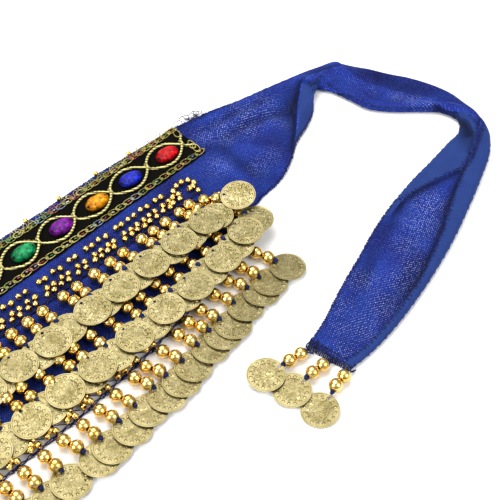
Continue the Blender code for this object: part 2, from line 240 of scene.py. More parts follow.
# Where the cloth's matt back shows, on the right half. Columns: how far along the rows of
# the table, and the share of the width from which it shows at the inner and outer edge.
BACK_SHOWS = (
    (11.4, 0.00, 1.00), (12.5, 0.10, 1.00), (13.1, 0.42, 1.00), (13.5, 0.68, 1.00), (14.0, 0.54, 1.00),
    (14.6, 0.36, 1.00), (14.9, 0.00, 1.00), (21.6, 0.00, 1.00), (22.2, 0.30, 0.88), (23.2, 0.56, 0.74),
    (24.1, 0.61, 0.67), (25.0, 0.61, 0.665), (25.4, 0.42, 0.68), (25.9, 0.28, 0.72), (26.4, 0.16, 0.76),
    (26.8, 0.09, 0.80), (27.4, 0.05, 0.85), (28.2, 0.00, 0.89), (29.6, 0.00, 0.90), (30.8, 0.00, 0.86),
    (32.0, 0.00, 0.81),
)

# Patches where pale glints of the yarn are painted into the cloth's colour. Columns: X, Y, reach,
# strength.
GLINT_PATCHES = (
    (347.8, -5.4, 9.0, 0.8), (361.1, -6.4, 9.0, 0.9), (378.4, -9.5, 10.0, 1.0),
    (393.0, -13.0, 9.0, 0.8), (356.4, -13.9, 8.0, 1.0), (371.0, -18.5, 9.0, 1.0),
    (388.0, -22.0, 9.0, 0.9), (402.0, -25.0, 6.0, 0.7), (389.5, -32.4, 7.0, 0.8),
    (337.2, -28.6, 9.0, 0.8), (352.1, -46.2, 8.0, 0.8), (363.6, -46.0, 8.0, 0.6),
    (445.4, -35.7, 5.0, 0.3), (449.0, -52.0, 5.0, 0.4), (456.0, -66.1, 6.0, 0.8),
    (460.0, -76.0, 7.0, 1.0), (463.6, -85.0, 5.0, 0.9), (437.0, -138.0, 7.0, 0.9),
    (399.0, -137.8, 12.0, 1.0), (385.0, -143.8, 12.0, 1.0), (368.0, -148.3, 11.0, 0.8),
    (358.0, -160.5, 10.0, 1.0), (344.7, -163.3, 11.0, 1.0), (327.0, -164.3, 11.0, 1.0),
    (308.9, -166.3, 11.0, 0.9), (332.0, -145.9, 9.0, 1.0), (311.0, -149.3, 9.0, 0.8),
    (300.3, -158.5, 9.0, 0.7), (290.0, -168.0, 9.0, 0.7),
)


def smooth(stops, values, places):
    """Reads rows of values at places on a smooth line through the stops."""
    slopes = np.gradient(values, stops, axis=0)
    number = np.clip(np.searchsorted(stops, places) - 1, 0, len(stops) - 2)
    span = (stops[1:] - stops[:-1])[number][:, None]
    share = (places - stops[number])[:, None] / span
    start = values[number] * (1 + 2 * share) + slopes[number] * span * share
    end = values[number + 1] * (3 - 2 * share) + slopes[number + 1] * span * (share - 1)
    return start * (1 - share) ** 2 + end * share ** 2


def near_line(points, line):
    """How far points lie from a line of points, on which side, and how far along it."""
    line = np.array(line)
    lengths = np.linalg.norm(np.diff(line, axis=0), axis=1)
    begun = np.concatenate([[0], np.cumsum(lengths)])
    best = np.full(len(points), np.inf)
    side = np.zeros(len(points))
    along = np.zeros(len(points))
    for number, length in enumerate(lengths):
        step = (line[number + 1] - line[number]) / length
        offset = points - line[number]
        reach = np.clip(offset @ step, 0, length)
        away = np.linalg.norm(offset - reach[:, None] * step, axis=1)
        closer = away < best
        best[closer] = away[closer]
        side[closer] = (step[0] * offset[:, 1] - step[1] * offset[:, 0])[closer]
        along[closer] = ((begun[number] + reach) / begun[-1])[closer]
    return best, side, along


rows = np.array(CLOTH_ROWS)
right_rows = len(rows)
left_half = rows[:0:-1] * [-1, 1, -1, 1, 1, 1, 1, 1, 1]
rows = np.vstack([left_half, rows])
middles = (rows[:, 0:2] + rows[:, 2:4]) / 2
stops = np.concatenate([[0], np.cumsum(np.linalg.norm(np.diff(middles, axis=0), axis=1))])
tie_starts = stops[right_rows - 1] + np.array([-PANEL_HALF, PANEL_HALF])
places = np.interp(
    np.arange(CLOTH_SPANS + 1), (0, TIE_SPANS, TIE_SPANS + PANEL_SPANS, CLOTH_SPANS),
    (0, *tie_starts, stops[-1]),
)
shares = np.linspace(0, 1, CLOTH_STRIPS + 1)
sections = smooth(stops, rows, places)
row_number = np.abs(np.interp(places, stops, np.arange(len(rows))) - (right_rows - 1))
heights = smooth(np.linspace(0, 1, 5), sections[:, 4:].T, shares).T
inner = sections[:, None, 0:2]
outer = sections[:, None, 2:4]
plan = inner + (outer - inner) * shares[None, :, None]
flat_plan = plan.reshape(-1, 2)
width = np.linalg.norm(outer - inner, axis=2)

chance = np.random.RandomState(7)
lift = np.zeros(len(flat_plan))
step_foot_shadow = np.zeros(len(flat_plan))
step_edge_highlight = np.zeros(len(flat_plan))
for hand in (1, -1):
    for line, (first, middle, last), left_reach, right_reach in CREASES:
        drift = (0, 0) if hand == 1 else chance.uniform(-LEFT_DRIFT, LEFT_DRIFT, 2)
        strength = 1 if hand == 1 else chance.uniform(*LEFT_STRENGTH)
        seen_from = flat_plan * (hand, 1) - drift
        away, side, along = near_line(seen_from, line)
        reach = np.where(side > 0, left_reach, right_reach)
        height = np.interp(along, (0, 0.5, 1), (first, middle, last)) * strength
        lift += height * np.exp(-(away / reach) ** 2)
        # Steps also give the colour a painted shadow at the foot and a painted highlight at the edge.
        if min(left_reach, right_reach) < STEP_REACH:
            foot = (reach < STEP_REACH) & (away < FOOT_END)
            shade = foot * np.clip(height * 3, 0, FOOT_SHADE) * np.exp(-(away / FOOT_REACH) ** 2)
            step_foot_shadow = np.maximum(step_foot_shadow, shade)
            step_edge_highlight = np.maximum(step_edge_highlight, ~foot * np.exp(-(away / EDGE_REACH) ** 2))

# The band and the fringe hold the panel flat, so its folds only rise beyond them. The
# colour gets a painted highlight on raised folds and painted shade in troughs and at the foot of a step.
held = np.clip((np.abs(flat_plan[:, 0]) - PANEL_HALF) / HELD_BLEND, 0, 1)
painted_fold_light = np.clip(lift * 0.6, -1.2, 0.8) - step_foot_shadow + step_edge_highlight * np.clip(lift, 0, 1)
lift *= np.where(flat_plan[:, 1] > -110, held, 1)
heights = heights + lift.reshape(heights.shape)

# A faint ripple runs both ways, and is stronger where the cloth lies loose past the band.
ripple = 0.12 * np.sin(plan[:, :, 0] / 7.3 + 1.7 * np.sin(plan[:, :, 1] / 11.0))
ripple += 0.10 * np.sin(plan[:, :, 1] / 5.1 + 1.3 * np.sin(plan[:, :, 0] / 9.0))
loose = np.clip((row_number - LOOSE_FROM_ROW) / 2, 0, 1)[:, None]
heights = heights + ripple * (HELD_RIPPLE + LOOSE_RIPPLE * loose)

# The cut edges are rolled down to the floor, all round.
to_edge = width * np.minimum(shares, 1 - shares)[None, :]
to_end = np.minimum(places, places[-1] - places)[:, None]
from_rim = np.minimum(to_edge, to_end + 0.4)
roll = np.sqrt(1 - (1 - np.clip(from_rim / EDGE_ROLL, 0, 1)) ** 2)
rim_height = np.minimum(heights, np.where(heights < 1.9, 1.5, EDGE_HEIGHT))
heights = rim_height + (np.maximum(heights, CLOTH_THICKNESS + 0.1) - rim_height) * roll

bpy.ops.object.select_all(action="DESELECT")
bpy.ops.mesh.primitive_grid_add(x_subdivisions=CLOTH_SPANS, y_subdivisions=CLOTH_STRIPS, size=2)
cloth = bpy.context.object
cloth.name = "cloth"
corners = np.empty(len(cloth.data.vertices) * 3)
cloth.data.vertices.foreach_get("co", corners)
corners = corners.reshape(-1, 3)
span = np.rint((corners[:, 0] + 1) / 2 * CLOTH_SPANS).astype(int)
strip = np.rint((corners[:, 1] + 1) / 2 * CLOTH_STRIPS).astype(int)
edge_wobble = EDGE_WOBBLE * np.sin(span * 1.9) * np.sin(span * 0.47 + 1)
ragged = np.where(strip == 0, 1, 0) - np.where(strip == CLOTH_STRIPS, 1, 0)
across = ((outer - inner) / width[:, :, None])[span, 0]
corners[:, :2] = plan[span, strip] + across * (ragged * edge_wobble)[:, None]
corners[:, 2] = np.maximum(heights[span, strip], CLOTH_THICKNESS + 0.1)
cloth.data.vertices.foreach_set("co", (corners * MM).ravel())

table = np.array(BACK_SHOWS)
inner_back = np.interp(row_number, table[:, 0], table[:, 1])[span]
outer_back = np.interp(row_number, table[:, 0], table[:, 2])[span]
share = shares[strip]
back = np.clip((inner_back - share) / BLEND_SHARE + 0.5, 0, 1) * (inner_back > 0.001)
back = np.maximum(back, np.clip((share - outer_back) / BLEND_SHARE + 0.5, 0, 1) * (outer_back < 0.999))
glint = np.full(len(corners), GLINT_EVERYWHERE)
for x, y, reach, strength in GLINT_PATCHES:
    distance = np.hypot(np.abs(corners[:, 0]) - x, corners[:, 1] - y)
    glint = np.maximum(glint, strength * np.exp(-(distance / reach) ** 2))
beyond_band = np.clip((np.abs(flat_plan[:, 0]) - 322) / 20, 0, 1)
fold_light_on_points = (painted_fold_light * beyond_band).reshape(heights.shape)[span, strip]
fold_light_on_points = np.where(back > 0.5, np.minimum(fold_light_on_points, 0.0), fold_light_on_points)
for name, values in (("back_side", back), ("glint", glint * (1 - back)), ("painted_fold_light", fold_light_on_points)):
    layer = cloth.data.attributes.new(name, "FLOAT", "POINT")
    layer.data.foreach_set("value", values)
loop_points = np.empty(len(cloth.data.loops), dtype=int)
cloth.data.loops.foreach_get("vertex_index", loop_points)
cut = np.column_stack([places[span] * MM, (width[span, 0] * share) * MM])[loop_points]
cloth.data.uv_layers[0].data.foreach_set("uv", cut.ravel())
bpy.ops.object.shade_smooth()
wall = cloth.modifiers.new("wall", "SOLIDIFY")
wall.thickness = CLOTH_THICKNESS * MM
wall.offset = -1
bpy.ops.object.modifier_apply(modifier=wall.name)

# Stretch velvet: a short cut nap over a fine knit, cobalt with a painted highlight on raised
# folds and painted navy shade in the troughs, and small pale glints of the shiny ground yarn
# painted between the ribs.
# A wave texture of scale 1 has a band every 0.314 m.
RIB_PITCH = 1.15
WAVE_REPEAT = 0.314
velvet, tree, surface = new_material("stretch_velvet", {
    "Roughness": 0.9, "Specular IOR Level": 0.15, "Sheen Weight": 0.4, "Sheen Roughness": 0.35,
    "Sheen Tint": colour("4468BC"),
})
cut_map = add_node(tree, "UVMap", uv_map=cloth.data.uv_layers[0].name)
nap = add_node(tree, "TexNoise", {"Vector": cut_map, "Scale": 42.0, "Detail": 4.0, "Roughness": 0.6})
nap_tone = add_node(tree, "ValToRGB", {"Fac": nap}, stops=((0.32, "0C1557"), (0.68, "162E7E")))
ribs = add_node(tree, "Mapping", {"Vector": cut_map, "Rotation": (0, 0, math.radians(38))})
rib_wave = {"Vector": ribs, "Scale": WAVE_REPEAT / (RIB_PITCH * MM), "Distortion": 0.6, "Detail": 1.0}
waves = [add_node(tree, "TexWave", rib_wave, bands_direction=way) for way in ("X", "Y")]
knots = add_node(
    tree, "Math", {0: waves[0].outputs["Fac"], 1: waves[1].outputs["Fac"]}, operation="MULTIPLY",
)
# Pale dots painted into the colour stand for the yarn's glints, where the glint patches are.
specks = add_node(tree, "TexNoise", {"Vector": cut_map, "Scale": 900.0, "Detail": 1.0})
speck_pick = add_node(tree, "MapRange", {0: specks, 1: 0.42, 2: 0.62})
dots = add_node(tree, "MapRange", {0: knots, 1: 0.55, 2: 0.85})
glint_zone = add_node(tree, "Attribute", attribute_name="glint")
lit_dots = add_node(tree, "Math", {0: dots, 1: speck_pick}, operation="MULTIPLY")
shown_dots = add_node(tree, "Math", {0: lit_dots, 1: glint_zone.outputs["Fac"]}, operation="MULTIPLY")
front = add_node(tree, "Mix", {"Factor": shown_dots, 6: nap_tone, 7: colour("C9D2F4")}, data_type="RGBA")
back_weave = add_node(tree, "TexNoise", {"Vector": cut_map, "Scale": 120.0, "Detail": 3.0})
back_tone = add_node(tree, "ValToRGB", {"Fac": back_weave}, stops=((0.0, "1E306A"), (1.0, "273D78")))
back_zone = add_node(tree, "Attribute", attribute_name="back_side")
both = add_node(
    tree, "Mix", {"Factor": back_zone.outputs["Fac"], 6: front.outputs[2], 7: back_tone}, data_type="RGBA",
)
# Painted light: the colour is scaled up on raised folds and down in troughs and at step feet.
fold_light_zone = add_node(tree, "Attribute", attribute_name="painted_fold_light")
painted_light_scale = add_node(tree, "MapRange", {0: fold_light_zone.outputs["Fac"], 1: -1.5, 2: 1.8, 3: 0.2, 4: 1.9})
shaded = add_node(tree, "VectorMath", {0: both.outputs[2], "Scale": painted_light_scale}, operation="SCALE")
rib_relief = add_node(tree, "Bump", {"Height": knots, "Strength": 0.35, "Distance": 0.0002})
nap_relief = add_node(
    tree, "Bump", {"Height": nap, "Normal": rib_relief, "Strength": 0.5, "Distance": 0.0006},
)
feed(surface, {"Base Color": shaded, "Normal": nap_relief})


def hand_over(piece, material, slot, *nodes):
    """Gives a finished piece its material and body, and hides the nodes it stands for. The slot is not
    used.
    """
    piece.data.materials.append(material)
    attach(piece, "root")
    if nodes:
        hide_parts(*nodes)


hand_over(cloth, velvet, "blue_cloth", "hip_panel", "right_tie_upper", "right_tie_lower",
          "left_tie_upper", "left_tie_lower")


# Overlocked edge. The cloth's cut edge is bound all round with navy thread, in short
# slanting stitches that pull it slightly ragged. Past the band's end they are longer.
def select_only(piece):
    """Makes one piece the only selected one, and the active one."""
    bpy.ops.object.select_all(action="DESELECT")
    piece.select_set(True)
    bpy.context.view_layer.objects.active = piece


def lay_threads(name, lines, thickness):
    """Makes one piece of round threads that follow lines of points in millimetres."""
    points = []
    edges = []
    for line in lines:
        first = len(points)
        points.extend(Vector(point) * MM for point in line)
        edges.extend((number, number + 1) for number in range(first, len(points) - 1))
    data = bpy.data.meshes.new(name)
    data.from_pydata(points, edges, [])
    piece = bpy.data.objects.new(name, data)
    bpy.context.scene.collection.objects.link(piece)
    select_only(piece)
    bpy.ops.object.convert(target="CURVE")
    piece.data.bevel_depth = thickness / 2 * MM
    piece.data.bevel_resolution = 0
    piece.data.use_fill_caps = True
    bpy.ops.object.convert(target="MESH")
    bpy.ops.object.shade_smooth()
    return bpy.context.object


def on_cloth(row, share, hand):
    """The point of the cloth's face at a place among its rows and a share of its width."""
    place = np.interp(right_rows - 1 + hand * row, np.arange(len(rows)), stops)
    across_spans = np.interp(place, places, np.arange(CLOTH_SPANS + 1))
    across_strips = np.clip(share, 0, 1) * CLOTH_STRIPS
    before = (min(int(across_spans), CLOTH_SPANS - 1), min(int(across_strips), CLOTH_STRIPS - 1))
    a, b = across_spans - before[0], across_strips - before[1]
    face = np.dstack([plan, heights])[before[0]:before[0] + 2, before[1]:before[1] + 2]
    start, end = (side[0] * (1 - b) + side[1] * b for side in face)
    return start * (1 - a) + end * a


def stray(reach):
    """A random distance or angle, up to the reach either way."""
    return chance.uniform(-reach, reach)


# The seams that it binds: rows of the table with the share of the width, and which way
# the stitches reach in. The last three lie along turned edges, on the face of the cloth.
SEAMS = (
    (((0.0, 1.0), (10.9, 1.0)), -1),
    (((0.0, 0.0), (15.4, 0.0)), 1),
    (((26.9, 0.0), (32.0, 0.0)), 1),
    (((13.9, 0.60), (14.4, 0.45), (14.9, 0.28), (15.9, 0.06), (17.0, 0.04), (18.5, 0.05),
      (20.6, 0.04)), 1),
    (((22.4, 0.36), (23.2, 0.58), (24.0, 0.62), (24.6, 0.64), (25.0, 0.61), (25.4, 0.42), (25.9, 0.28),
      (26.4, 0.16), (26.8, 0.09), (27.0, 0.04)), -1),
    (((22.6, 0.80), (23.2, 0.73), (24.1, 0.67), (25.1, 0.66), (25.7, 0.70), (26.4, 0.76), (27.0, 0.82),
      (27.6, 0.85), (28.6, 0.90), (29.6, 0.90), (30.8, 0.86), (31.8, 0.81)), 1),
)
STITCH_PITCH = 1.7
STITCH_LENGTH = 1.7
LONG_STITCH = 3.4
LONG_STITCHES_AT = (336.0, 378.0)
STITCH_THICKNESS = 0.5
SEAM_SAMPLES = 700
navy_lines = []
for hand in (1, -1):
    for seam, inward in SEAMS:
        seam = np.array(seam)
        seam_rows = np.linspace(seam[0, 0], seam[-1, 0], SEAM_SAMPLES)
        seam_shares = np.interp(seam_rows, seam[:, 0], seam[:, 1])
        line = np.array([on_cloth(*spot, hand) for spot in zip(seam_rows, seam_shares)])
        run = np.concatenate([[0], np.cumsum(np.linalg.norm(np.diff(line, axis=0), axis=1))])
        for number in range(int(run[-1] / STITCH_PITCH)):
            spot = (number + chance.uniform(0.2, 0.8)) * STITCH_PITCH
            row = np.interp(spot, run, seam_rows)
            share = np.interp(spot, run, seam_shares)
            at_edge = share in (0.0, 1.0)
            middle = on_cloth(row, share, hand)
            cloth_width = np.linalg.norm(on_cloth(row, 1.0, hand)[:2] - on_cloth(row, 0.0, hand)[:2])
            long_here = share == 1.0 and LONG_STITCHES_AT[0] < abs(middle[0]) < LONG_STITCHES_AT[1]
            depth = (LONG_STITCH if long_here else STITCH_LENGTH) * chance.uniform(0.6, 1.1)
            slant = stray(0.03)
            end = on_cloth(row + slant, share + inward * depth / cloth_width, hand) + [0, 0, 0.2]
            outside = middle + (middle - end) / depth * chance.uniform(0.1, 0.6)
            outside[2] = middle[2] * 0.5 if at_edge else middle[2] + 0.1
            navy_lines.append((outside, middle + [0, 0, 0.25], end))
overlock = lay_threads("overlocking", navy_lines, STITCH_THICKNESS)

# Sewing thread: spun polyester in navy. It is matt, and its fibres break up its edge.
thread, tree, surface = new_material("navy_thread", {"Roughness": 0.85, "Specular IOR Level": 0.25})
place_on = add_node(tree, "TexCoord")
fibres = add_node(
    tree, "TexNoise", {"Vector": place_on.outputs["Object"], "Scale": 1400.0, "Detail": 2.0},
)
fibre_tone = add_node(tree, "ValToRGB", {"Fac": fibres}, stops=((0.35, "090B22"), (0.7, "232B68")))
fibre_relief = add_node(tree, "Bump", {"Height": fibres, "Strength": 0.6, "Distance": 0.0002})
feed(surface, {"Base Color": fibre_tone, "Normal": fibre_relief})
hand_over(overlock, thread, "navy_thread", "hip_panel")


# Frayed ends. Where the band stops, cut ends of the waist stitching stand off the edge in
# a loose tuft of fine thread.
TUFT_THREADS = 18
TUFT_STEPS = 12
TUFT_THICKNESS = 0.42
tuft_lines = []
for hand in (1, -1):
    for number in range(TUFT_THREADS):
        point = np.array([chance.uniform(346, 356), chance.uniform(9.5, 12.0), 1.2])
        heading = math.radians(chance.uniform(40, 140))
        line = []
        for step in range(TUFT_STEPS):
            line.append((hand * point[0], point[1], max(point[2], 0.3)))
            heading += stray(1.3)
            point = point + [math.cos(heading), math.sin(heading), chance.uniform(-0.3, 0.5)]
        tuft_lines.append(line)
tuft = lay_threads("frayed_ends", tuft_lines, TUFT_THICKNESS)
hand_over(tuft, thread, "navy_thread", "hip_panel")


# Ribbon. A black woven ribbon 30 mm wide lies flat along the waist and carries the band's
# cords, borders and gems. It is stitched down through the cloth.
RIBBON_LOW = -15.6
RIBBON_HIGH = 14.0
RIBBON_HALF = 338.6
RIBBON_BED = 1.75
RIBBON_THICKNESS = 0.8
bpy.ops.object.select_all(action="DESELECT")
bpy.ops.mesh.primitive_grid_add(x_subdivisions=260, y_subdivisions=12, size=2)
ribbon = bpy.context.object
ribbon.name = "black_ribbon"
for vert in ribbon.data.vertices:
    x = vert.co.x * RIBBON_HALF
    y = (RIBBON_LOW + RIBBON_HIGH) / 2 + vert.co.y * (RIBBON_HIGH - RIBBON_LOW) / 2
    edge_pull = 0.25 * math.sin(x / 3.1) * abs(vert.co.y) ** 8
    swell = 0.15 * math.sin(x / 13.0) * math.cos(y / 9.0)
    vert.co = Vector((x, y + edge_pull, RIBBON_BED + RIBBON_THICKNESS + swell)) * MM
wall = ribbon.modifiers.new("wall", "SOLIDIFY")
wall.thickness = RIBBON_THICKNESS * MM
bpy.ops.object.modifier_apply(modifier=wall.name)
bpy.ops.object.shade_smooth_by_angle(angle=math.radians(40))

# Woven ribbon: black polyester with fine cross ribs 0.8 mm apart, drawn at 1.2 mm so that
# they show. Its colour has painted shade in the low spots between the ribs and a faint
# painted highlight on the rib tops.
CROSS_RIB_PITCH = 1.2
woven, tree, surface = new_material("woven_ribbon", {"Roughness": 0.85, "Specular IOR Level": 0.06})
place_on = add_node(tree, "TexCoord")
cross_ribs = add_node(
    tree, "TexWave", {"Vector": place_on.outputs["Object"], "Scale": WAVE_REPEAT / (CROSS_RIB_PITCH * MM),
    "Distortion": 1.0, "Detail": 2.0}, bands_direction="X",
)
rib_shade = add_node(
    tree, "ValToRGB", {"Fac": cross_ribs.outputs["Fac"]}, stops=((0.0, "020202"), (1.0, "0D0C08")),
)
rib_relief = add_node(
    tree, "Bump", {"Height": cross_ribs.outputs["Fac"], "Strength": 0.7, "Distance": 0.0003},
)
feed(surface, {"Base Color": rib_shade, "Normal": rib_relief})
hand_over(ribbon, woven, "black_ribbon", "gem_band")


# Woven borders. A chain of long links in gold thread runs along both edges of the ribbon
# and turns its corners. Bits of red, pink, green and pale blue thread fill the links.
def repeat(name, master, places, **attributes):
    """One piece that holds a copy of the master at each place, and removes the master."""
    source = master.data
    size = len(source.vertices)
    points = np.empty(size * 3)
    source.vertices.foreach_get("co", points)
    points = np.column_stack([points.reshape(-1, 3), np.ones(size)])
    loops = np.empty(len(source.loops), dtype=np.int32)
    source.loops.foreach_get("vertex_index", loops)
    starts = np.empty(len(source.polygons), dtype=np.int32)
    source.polygons.foreach_get("loop_start", starts)
    smooth_faces = np.empty(len(source.polygons), dtype=bool)
    source.polygons.foreach_get("use_smooth", smooth_faces)
    maps = np.empty(len(source.loops) * 2)
    source.uv_layers[0].data.foreach_get("uv", maps)
    count = len(places)
    moved = np.concatenate([points @ np.array(place)[:3].T for place in places])
    data = bpy.data.meshes.new(name)
    data.vertices.add(size * count)
    data.vertices.foreach_set("co", moved.ravel())
    data.loops.add(len(loops) * count)
    data.loops.foreach_set("vertex_index", np.concatenate([loops + size * n for n in range(count)]))
    data.polygons.add(len(starts) * count)
    all_starts = np.concatenate([starts + len(loops) * n for n in range(count)])
    data.polygons.foreach_set("loop_start", all_starts)
    data.polygons.foreach_set("use_smooth", np.tile(smooth_faces, count))
    data.uv_layers.new(name="own")
    data.uv_layers[0].data.foreach_set("uv", np.tile(maps, count))
    for label, values in attributes.items():
        values = np.array(values, dtype=float)
        kind, field = ("FLOAT", "value") if values.ndim == 1 else ("FLOAT_COLOR", "color")
        layer = data.attributes.new(label, kind, "POINT")
        layer.data.foreach_set(field, np.repeat(values, size, axis=0).ravel())
    data.update(calc_edges=True)
    data.validate()
    piece = bpy.data.objects.new(name, data)
    bpy.context.scene.collection.objects.link(piece)
    bpy.data.objects.remove(master)
    return piece


def stand(x, y, z, turn=0.0, tilt=0.0, lean=0.0, size=1.0):
    """A place in millimetres, with a turn about Z, then a tilt about X and a lean about Y."""
    turned = Matrix.Rotation(turn, 4, "Z") @ Matrix.Rotation(tilt, 4, "X") @ Matrix.Rotation(lean, 4, "Y")
    return Matrix.Translation(Vector((x, y, z)) * MM) @ turned @ Matrix.Scale(size, 4)


def stretch(x, y, z):
    """Gives the active piece, made one unit across, its size in millimetres."""
    bpy.ops.object.mode_set(mode="EDIT")
    bpy.ops.mesh.select_all(action="SELECT")
    bpy.ops.transform.resize(value=(x * MM, y * MM, z * MM), center_override=(0, 0, 0))
    bpy.ops.object.mode_set(mode="OBJECT")


LINK_LENGTH = 7.2
LINK_WIDTH = 3.6
LINK_HEIGHT = 3.4
LINK_TAPER = 55
LINK_LEAN = 0.06
BORDER_HEIGHT = RIBBON_BED + RIBBON_THICKNESS + 0.35
BORDER_HALF = 336.0
EDGE_STITCHES = 150
EDGE_STITCH_PITCH = 4.5
EDGE_STITCH_SIZE = 0.62
CORNER_TURN = math.radians(74)

# Columns: the border's Y and the pitch of its links.
BORDERS = ((-13.3, 5.6), (11.6, 5.0))
bpy.ops.object.select_all(action="DESELECT")
bpy.ops.mesh.primitive_torus_add(major_segments=12, minor_segments=4, major_radius=0.5,
                                 minor_radius=0.075)
link = bpy.context.object
stretch(LINK_LENGTH, LINK_WIDTH, LINK_HEIGHT)
for vert in link.data.vertices:
    vert.co.y *= 1 - LINK_TAPER * vert.co.x
bpy.ops.object.shade_smooth()
places = []
tones = []
THREAD_TONES = ("B9AC56", "CFC374", "A99A42", "B9AC56", "A8605E", "8FA6B4", "7C9650", "C4B868")
for y, pitch in BORDERS:
    count = int(2 * BORDER_HALF / pitch)
    for number in range(count + 1):
        x = -BORDER_HALF + number * 2 * BORDER_HALF / count
        places.append(stand(x, y + stray(0.3), BORDER_HEIGHT, stray(0.12), lean=LINK_LEAN))
        tones.append(colour(THREAD_TONES[chance.randint(len(THREAD_TONES))]))
for hand in (1, -1):
    for y in (-9.2, -5.2, 8.2):
        places.append(stand(hand * (BORDER_HALF + 0.8), y, BORDER_HEIGHT, hand * CORNER_TURN))
        tones.append(colour("C9BC62"))
for number in range(EDGE_STITCHES):
    x = -BORDER_HALF + number * EDGE_STITCH_PITCH
    places.append(stand(x, 13.4 + stray(0.3), BORDER_HEIGHT,
                        math.radians(55 if number % 2 else -55), size=EDGE_STITCH_SIZE))
    tones.append(colour(THREAD_TONES[chance.randint(len(THREAD_TONES))]))
links = repeat("border_links", link, places, thread_tone=tones)

FILLING = (2.3, 0.9, 0.8)
bpy.ops.mesh.primitive_uv_sphere_add(segments=6, ring_count=4, radius=0.5)
stretch(*FILLING)
bpy.ops.object.shade_smooth()
fill = bpy.context.object
FILL_TONES = ("C8566A", "D98CA0", "A8C8E0", "6E9C4A", "B83A34", "E6E0C8", "3E7A4A", "9C86C8")
fill_places = []
fill_tones = []
for y, pitch in BORDERS:
    count = int(2 * BORDER_HALF / pitch)
    for number in range(count + 1):
        x = -BORDER_HALF + number * 2 * BORDER_HALF / count
        fill_places.append(stand(x + stray(0.6), y + stray(0.4), BORDER_HEIGHT - 0.1, stray(0.5)))
        fill_tones.append(colour(FILL_TONES[chance.randint(len(FILL_TONES))]))
fills = repeat("border_fillings", fill, fill_places, thread_tone=fill_tones)

# Metallic yarn: flat foil wound on thread. Its colour is scaled darker and lighter in small
# spots, as painted dull and bright reflections of the twisting foil.
foil_yarn, tree, surface = new_material("metallic_yarn", {"Roughness": 0.38, "Metallic": 0.55})
tone = add_node(tree, "Attribute", attribute_name="thread_tone")
place_on = add_node(tree, "TexCoord")
twist = add_node(tree, "TexNoise", {"Vector": place_on.outputs["Object"], "Scale": 1300.0, "Detail": 1.0})
foil_painted_reflection = add_node(tree, "MapRange", {0: twist, 1: 0.35, 2: 0.65, 3: 0.25, 4: 1.15})
twisted = add_node(tree, "VectorMath", {0: tone, "Scale": foil_painted_reflection}, operation="SCALE")
feed(surface, {"Base Color": twisted})
for piece in (links, fills):
    hand_over(piece, foil_yarn, "gold_cord", "gem_band")


# Cords. Two twisted gold cords wave along the ribbon from end to end and cross between
# the gems, so that each gem has its own pointed oval. A stitch binds each crossing.
CORD_THICKNESS = 1.8
CORD_CELLS = 25
CORD_CROSSING = 332.5
CORD_END = 338.0
CORD_SWING = 8.3
CORD_MIDDLE = -0.9
CORD_FULLNESS = 0.75
CORD_SIDES = 8
CORD_TWIST = 4.2
CORD_STEP = 0.42
CORD_HEIGHT = RIBBON_BED + RIBBON_THICKNESS + CORD_THICKNESS / 2 - 0.1
CORD_PATH = 1.15
cell = 2 * CORD_CROSSING / CORD_CELLS

# How far each crossing strays along the ribbon, from its right end, over five gems.
CORD_DRIFTS = (0.0, -0.9, -2.1, -2.5, -1.3, 0.0)


def cord_drift(x):
    """How far the cords' pattern has strayed at a place along the ribbon."""
    return np.interp((CORD_CROSSING - x) / cell % 5, range(6), CORD_DRIFTS)


def cord(name, sign):
    """One cord: a two-strand section that turns as it follows its wave."""
    steps = int(2 * CORD_END / CORD_STEP)
    bpy.ops.object.select_all(action="DESELECT")
    bpy.ops.mesh.primitive_grid_add(x_subdivisions=steps, y_subdivisions=CORD_SIDES, size=2)
    piece = bpy.context.object
    piece.name = name
    points = np.empty(len(piece.data.vertices) * 3)
    piece.data.vertices.foreach_get("co", points)
    points = points.reshape(-1, 3)
    x = points[:, 0] * CORD_END
    angle = (points[:, 1] + 1) * math.pi
    wave = (x - cord_drift(x) + CORD_CROSSING) * math.pi / cell
    swing = np.sin(wave)
    y = CORD_MIDDLE + sign * CORD_SWING * np.sign(swing) * (np.abs(swing) + 1e-4) ** CORD_FULLNESS
    slope = sign * CORD_SWING * CORD_FULLNESS * np.cos(wave) * math.pi / cell
    slope = slope * np.minimum((np.abs(swing) + 1e-4) ** (CORD_FULLNESS - 1), 1.8)
    across = np.column_stack([-slope, np.ones(len(x))]) / np.sqrt(1 + slope ** 2)[:, None]
    over = 0.75 * sign * np.cos(wave) * np.abs(np.cos(wave)) ** 3
    twist = 2 * math.pi * (x * CORD_PATH) / CORD_TWIST
    radius = CORD_THICKNESS / 2 * (0.84 + 0.16 * np.cos(2 * (angle - twist)))
    end = np.sqrt(np.clip(CORD_END - np.abs(x), 0, 1))
    radius = radius * (0.1 + 0.9 * end)
    points[:, 0] = x + across[:, 0] * radius * np.cos(angle)
    points[:, 1] = y + across[:, 1] * radius * np.cos(angle)
    points[:, 2] = CORD_HEIGHT + over + radius * np.sin(angle) * 0.9
    piece.data.vertices.foreach_set("co", (points * MM).ravel())
    bpy.ops.object.mode_set(mode="EDIT")
    bpy.ops.mesh.select_all(action="SELECT")
    bpy.ops.mesh.remove_doubles(threshold=0.02 * MM)
    bpy.ops.mesh.normals_make_consistent(inside=False)
    bpy.ops.object.mode_set(mode="OBJECT")
    bpy.ops.object.shade_smooth()
    return piece


